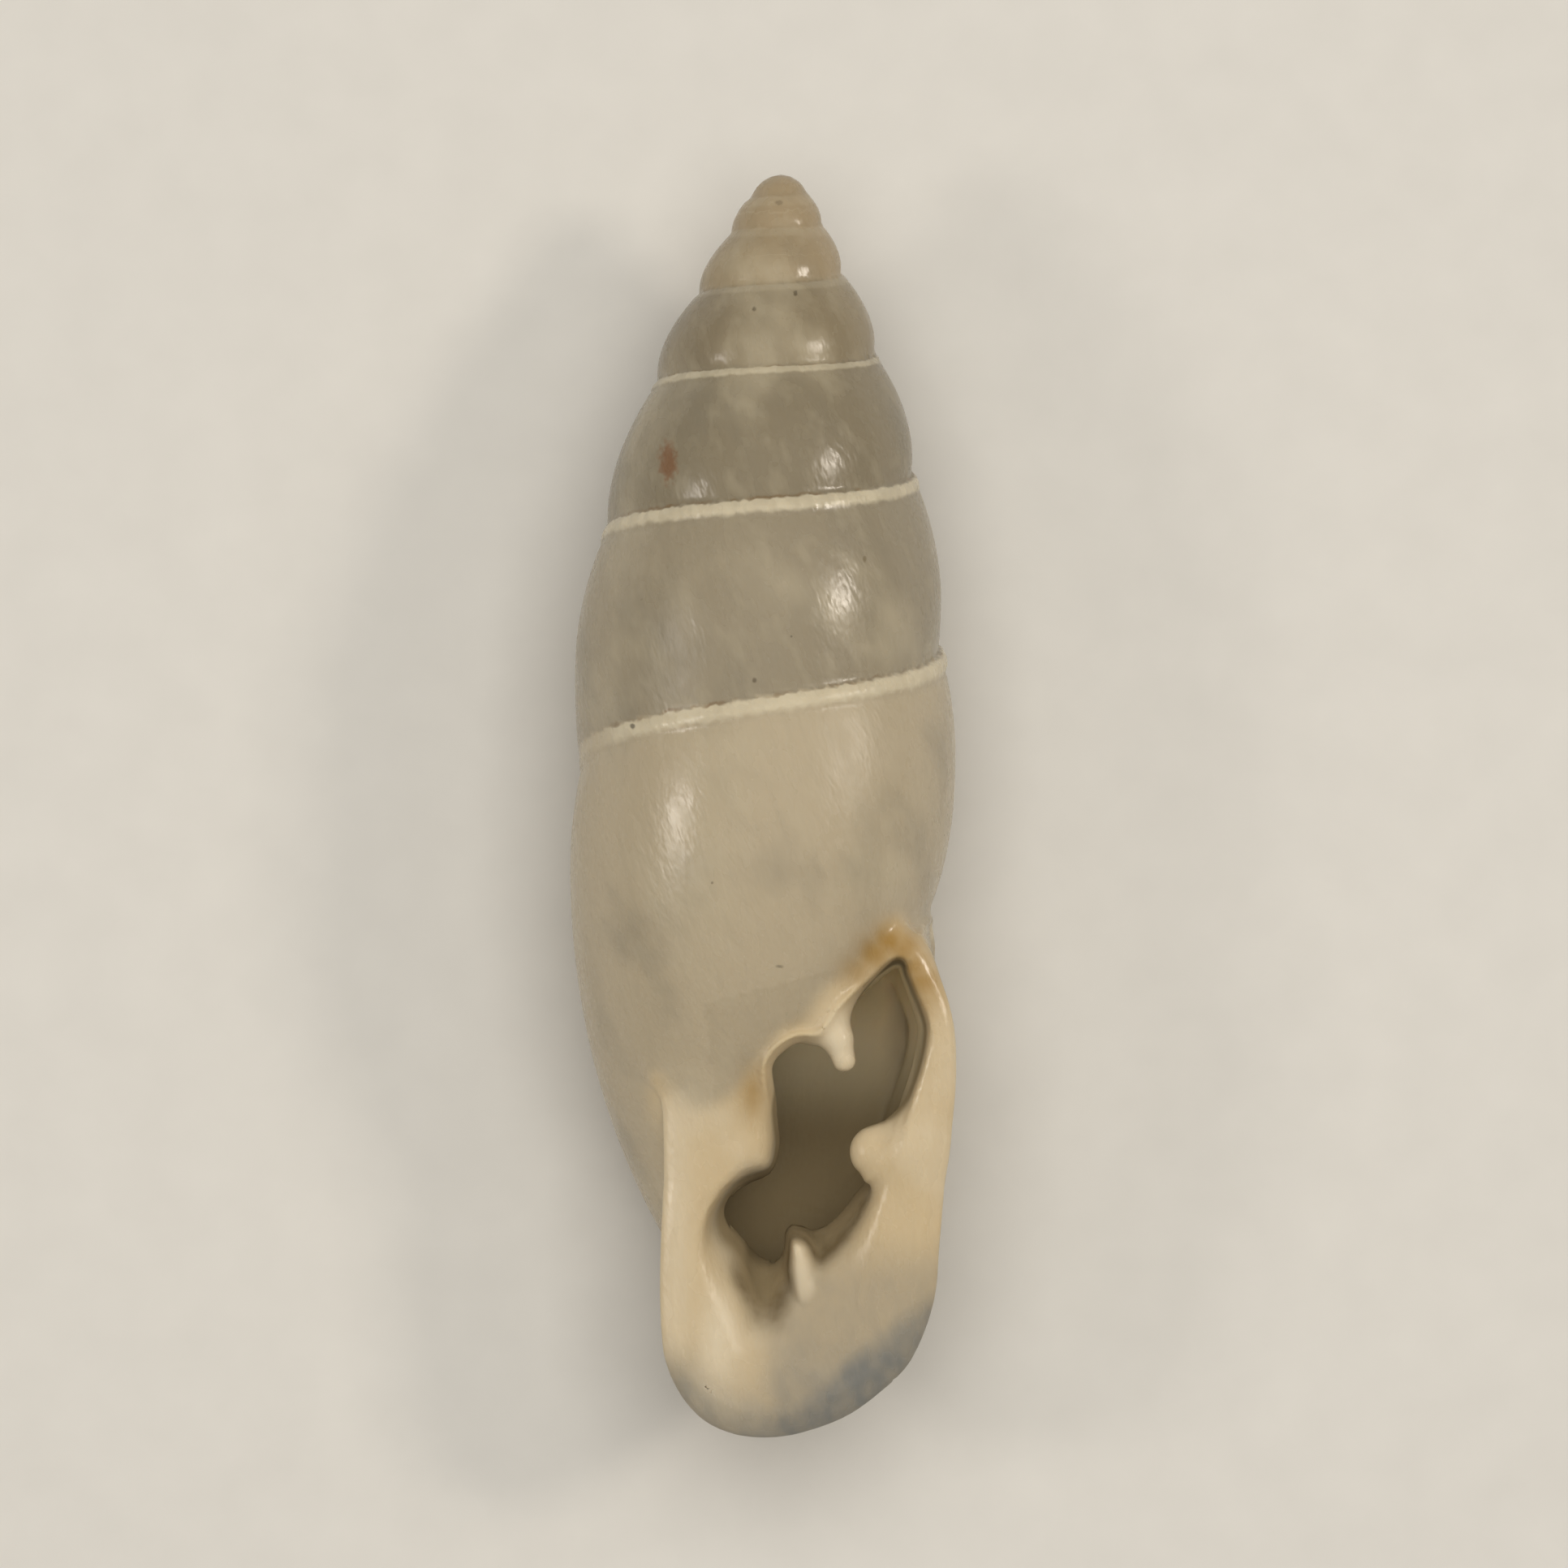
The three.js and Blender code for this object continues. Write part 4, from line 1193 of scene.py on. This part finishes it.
    def values(self, tree: bpy.types.NodeTree, placement: Matrix) -> dict[str, Socket]:
        """Makes the shell's own coordinates, its tones and its uneven patterns.

        Args:
            tree: the material's nodes.
            placement: the shell's own frame in mm to the scene.

        Returns:
            Each one's socket by its name.
        """
        back = placement.inverted()
        own = add_node(tree, "ShaderNodeMapping", {
            "Vector": add_node(tree, "ShaderNodeTexCoord").outputs["Object"],
            "Location": back.to_translation(), "Rotation": back.to_euler("XYZ"), "Scale": back.to_scale(),
        }).outputs[0]
        _, y, z = add_node(tree, "ShaderNodeSeparateXYZ", {0: own}).outputs
        lean = add_node(tree, "ShaderNodeMath", {0: y, 1: self.twist}, operation="MULTIPLY").outputs[0]
        grown = add_node(tree, "ShaderNodeVectorRotate", {
            "Vector": own, "Angle": lean,
        }, rotation_type="Y_AXIS").outputs[0]
        known = {"own": own, "y": y, "z": z}
        for tone in Tone:
            known[tone.value] = add_node(tree, "ShaderNodeAttribute", attribute_name=tone.value).outputs["Fac"]
        for cloud in self.clouds:
            spot = add_node(tree, "ShaderNodeVectorMath", {
                0: grown if cloud.leans else own, 1: (1 / cloud.across, 1 / cloud.along, 1 / cloud.across),
                2: (cloud.seed, cloud.seed, cloud.seed),
            }, operation="MULTIPLY_ADD").outputs[0]
            known[cloud.name] = add_node(tree, "ShaderNodeTexNoise", {
                "Vector": spot, "Scale": 1.0, "Detail": cloud.finer,
            }).outputs[0]
        # The place across the thread's own width, with uneven edges: 0 at its top and 1 at its foot.
        place = add_node(tree, "ShaderNodeMath", {0: known["thread"], 1: 0.25}, operation="ADD").outputs[0]
        known["place"] = add_node(tree, "ShaderNodeMath", {
            0: known["wobble"], 1: -0.5, 2: place,
        }, operation="MULTIPLY_ADD").outputs[0]
        return known

    def painted(self, tree: bpy.types.NodeTree, known: dict[str, Socket]) -> Socket:
        """Lays the ground, the layers and the marks over one another.

        Args:
            tree: the material's nodes.
            known: the values by name; the mixed colours are added to them.

        Returns:
            The colour.
        """
        for name, under, over, factors in self.blends:
            known[name] = self.laid(tree, known, linear(under), over, factors)
        ramp = add_node(tree, "ShaderNodeValToRGB", {0: known["growth"]})
        stops = ramp.color_ramp.elements
        for number, (at, hue) in enumerate(self.ground):
            stop = stops[number] if number < 2 else stops.new(at)
            stop.position, stop.color = at, linear(hue)
        colour = ramp.outputs[0]
        for hue, factors in self.layers:
            colour = self.laid(tree, known, colour, hue, factors)
        for mark, hue in self.marks:
            far = known["own"]
            for what, by in (("SUBTRACT", mark.at), ("MULTIPLY", (1 / mark.reach[0], 1 / mark.reach[1]))):
                far = add_node(tree, "ShaderNodeVectorMath", {0: far, 1: (*by, 0.0)}, operation=what).outputs[0]
            far = add_node(tree, "ShaderNodeVectorMath", {0: far}, operation="LENGTH").outputs["Value"]
            far = add_node(tree, "ShaderNodeMath", {0: far, 1: known["ragged"]}, operation="ADD").outputs[0]
            spot = (("far", 0.8, 1.35, mark.strength, 0), ("z", 0.1, 0.4, 0, 1))
            colour = self.laid(tree, known | {"far": far}, colour, hue, spot)
        return colour

    def dress(self, piece: bpy.types.Object, placement: Matrix) -> None:
        """Gives the shell its finish.

        Args:
            piece: the shell's object.
            placement: the shell's own frame in mm to the scene.
        """
        material = bpy.data.materials.new("aragonite_shell")
        material.use_nodes = True
        tree = material.node_tree
        shader = tree.nodes["Principled BSDF"]
        known = self.values(tree, placement)
        tree.links.new(self.painted(tree, known), shader.inputs["Base Color"])
        # Gloss: a little uneven with the grain, and duller in the hollow, in the spoon and where it is worn.
        rough = add_node(tree, "ShaderNodeMapRange", {
            0: known["grain"], 1: 0.3, 2: 0.7, 3: self.roughness - 0.04, 4: self.roughness + 0.07,
        }, interpolation_type="SMOOTHSTEP").outputs[0]
        for tone, dulls in (("cavity", self.cavity_dulls), ("sunk", self.sunk_dulls)):
            rough = add_node(tree, "ShaderNodeMath", {
                0: known[tone], 1: dulls, 2: rough,
            }, operation="MULTIPLY_ADD").outputs[0]
        tree.links.new(rough, shader.inputs["Roughness"])
        way = {}
        for name, deep in self.bumps:
            bump = add_node(tree, "ShaderNodeBump", {"Height": known[name], "Distance": deep * MILLIMETRE} | way)
            way = {"Normal": bump.outputs[0]}
        tree.links.new(way["Normal"], shader.inputs["Normal"])
        shader.inputs["IOR"].default_value = self.ior
        shader.inputs["Subsurface Weight"].default_value = self.scatter
        shader.inputs["Subsurface Radius"].default_value = self.scatter_radius
        shader.inputs["Subsurface Scale"].default_value = self.scatter_reach * MILLIMETRE
        piece.data.materials.append(material)


def main() -> None:
    """Builds the shell and its studio."""
    logging.basicConfig(level=logging.INFO, format="%(name)s: %(message)s")
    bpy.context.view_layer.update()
    shell = Shell()
    piece = shell.build()
    Aragonite().dress(piece, shell.placement())
    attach(piece, "root")
    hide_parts("shell")
    studio = Studio()
    studio.camera(shell.placement())
    studio.floor()
    studio.lights()
    bpy.context.scene.view_settings.view_transform = "Standard"


if __name__ == "__main__":
    main()
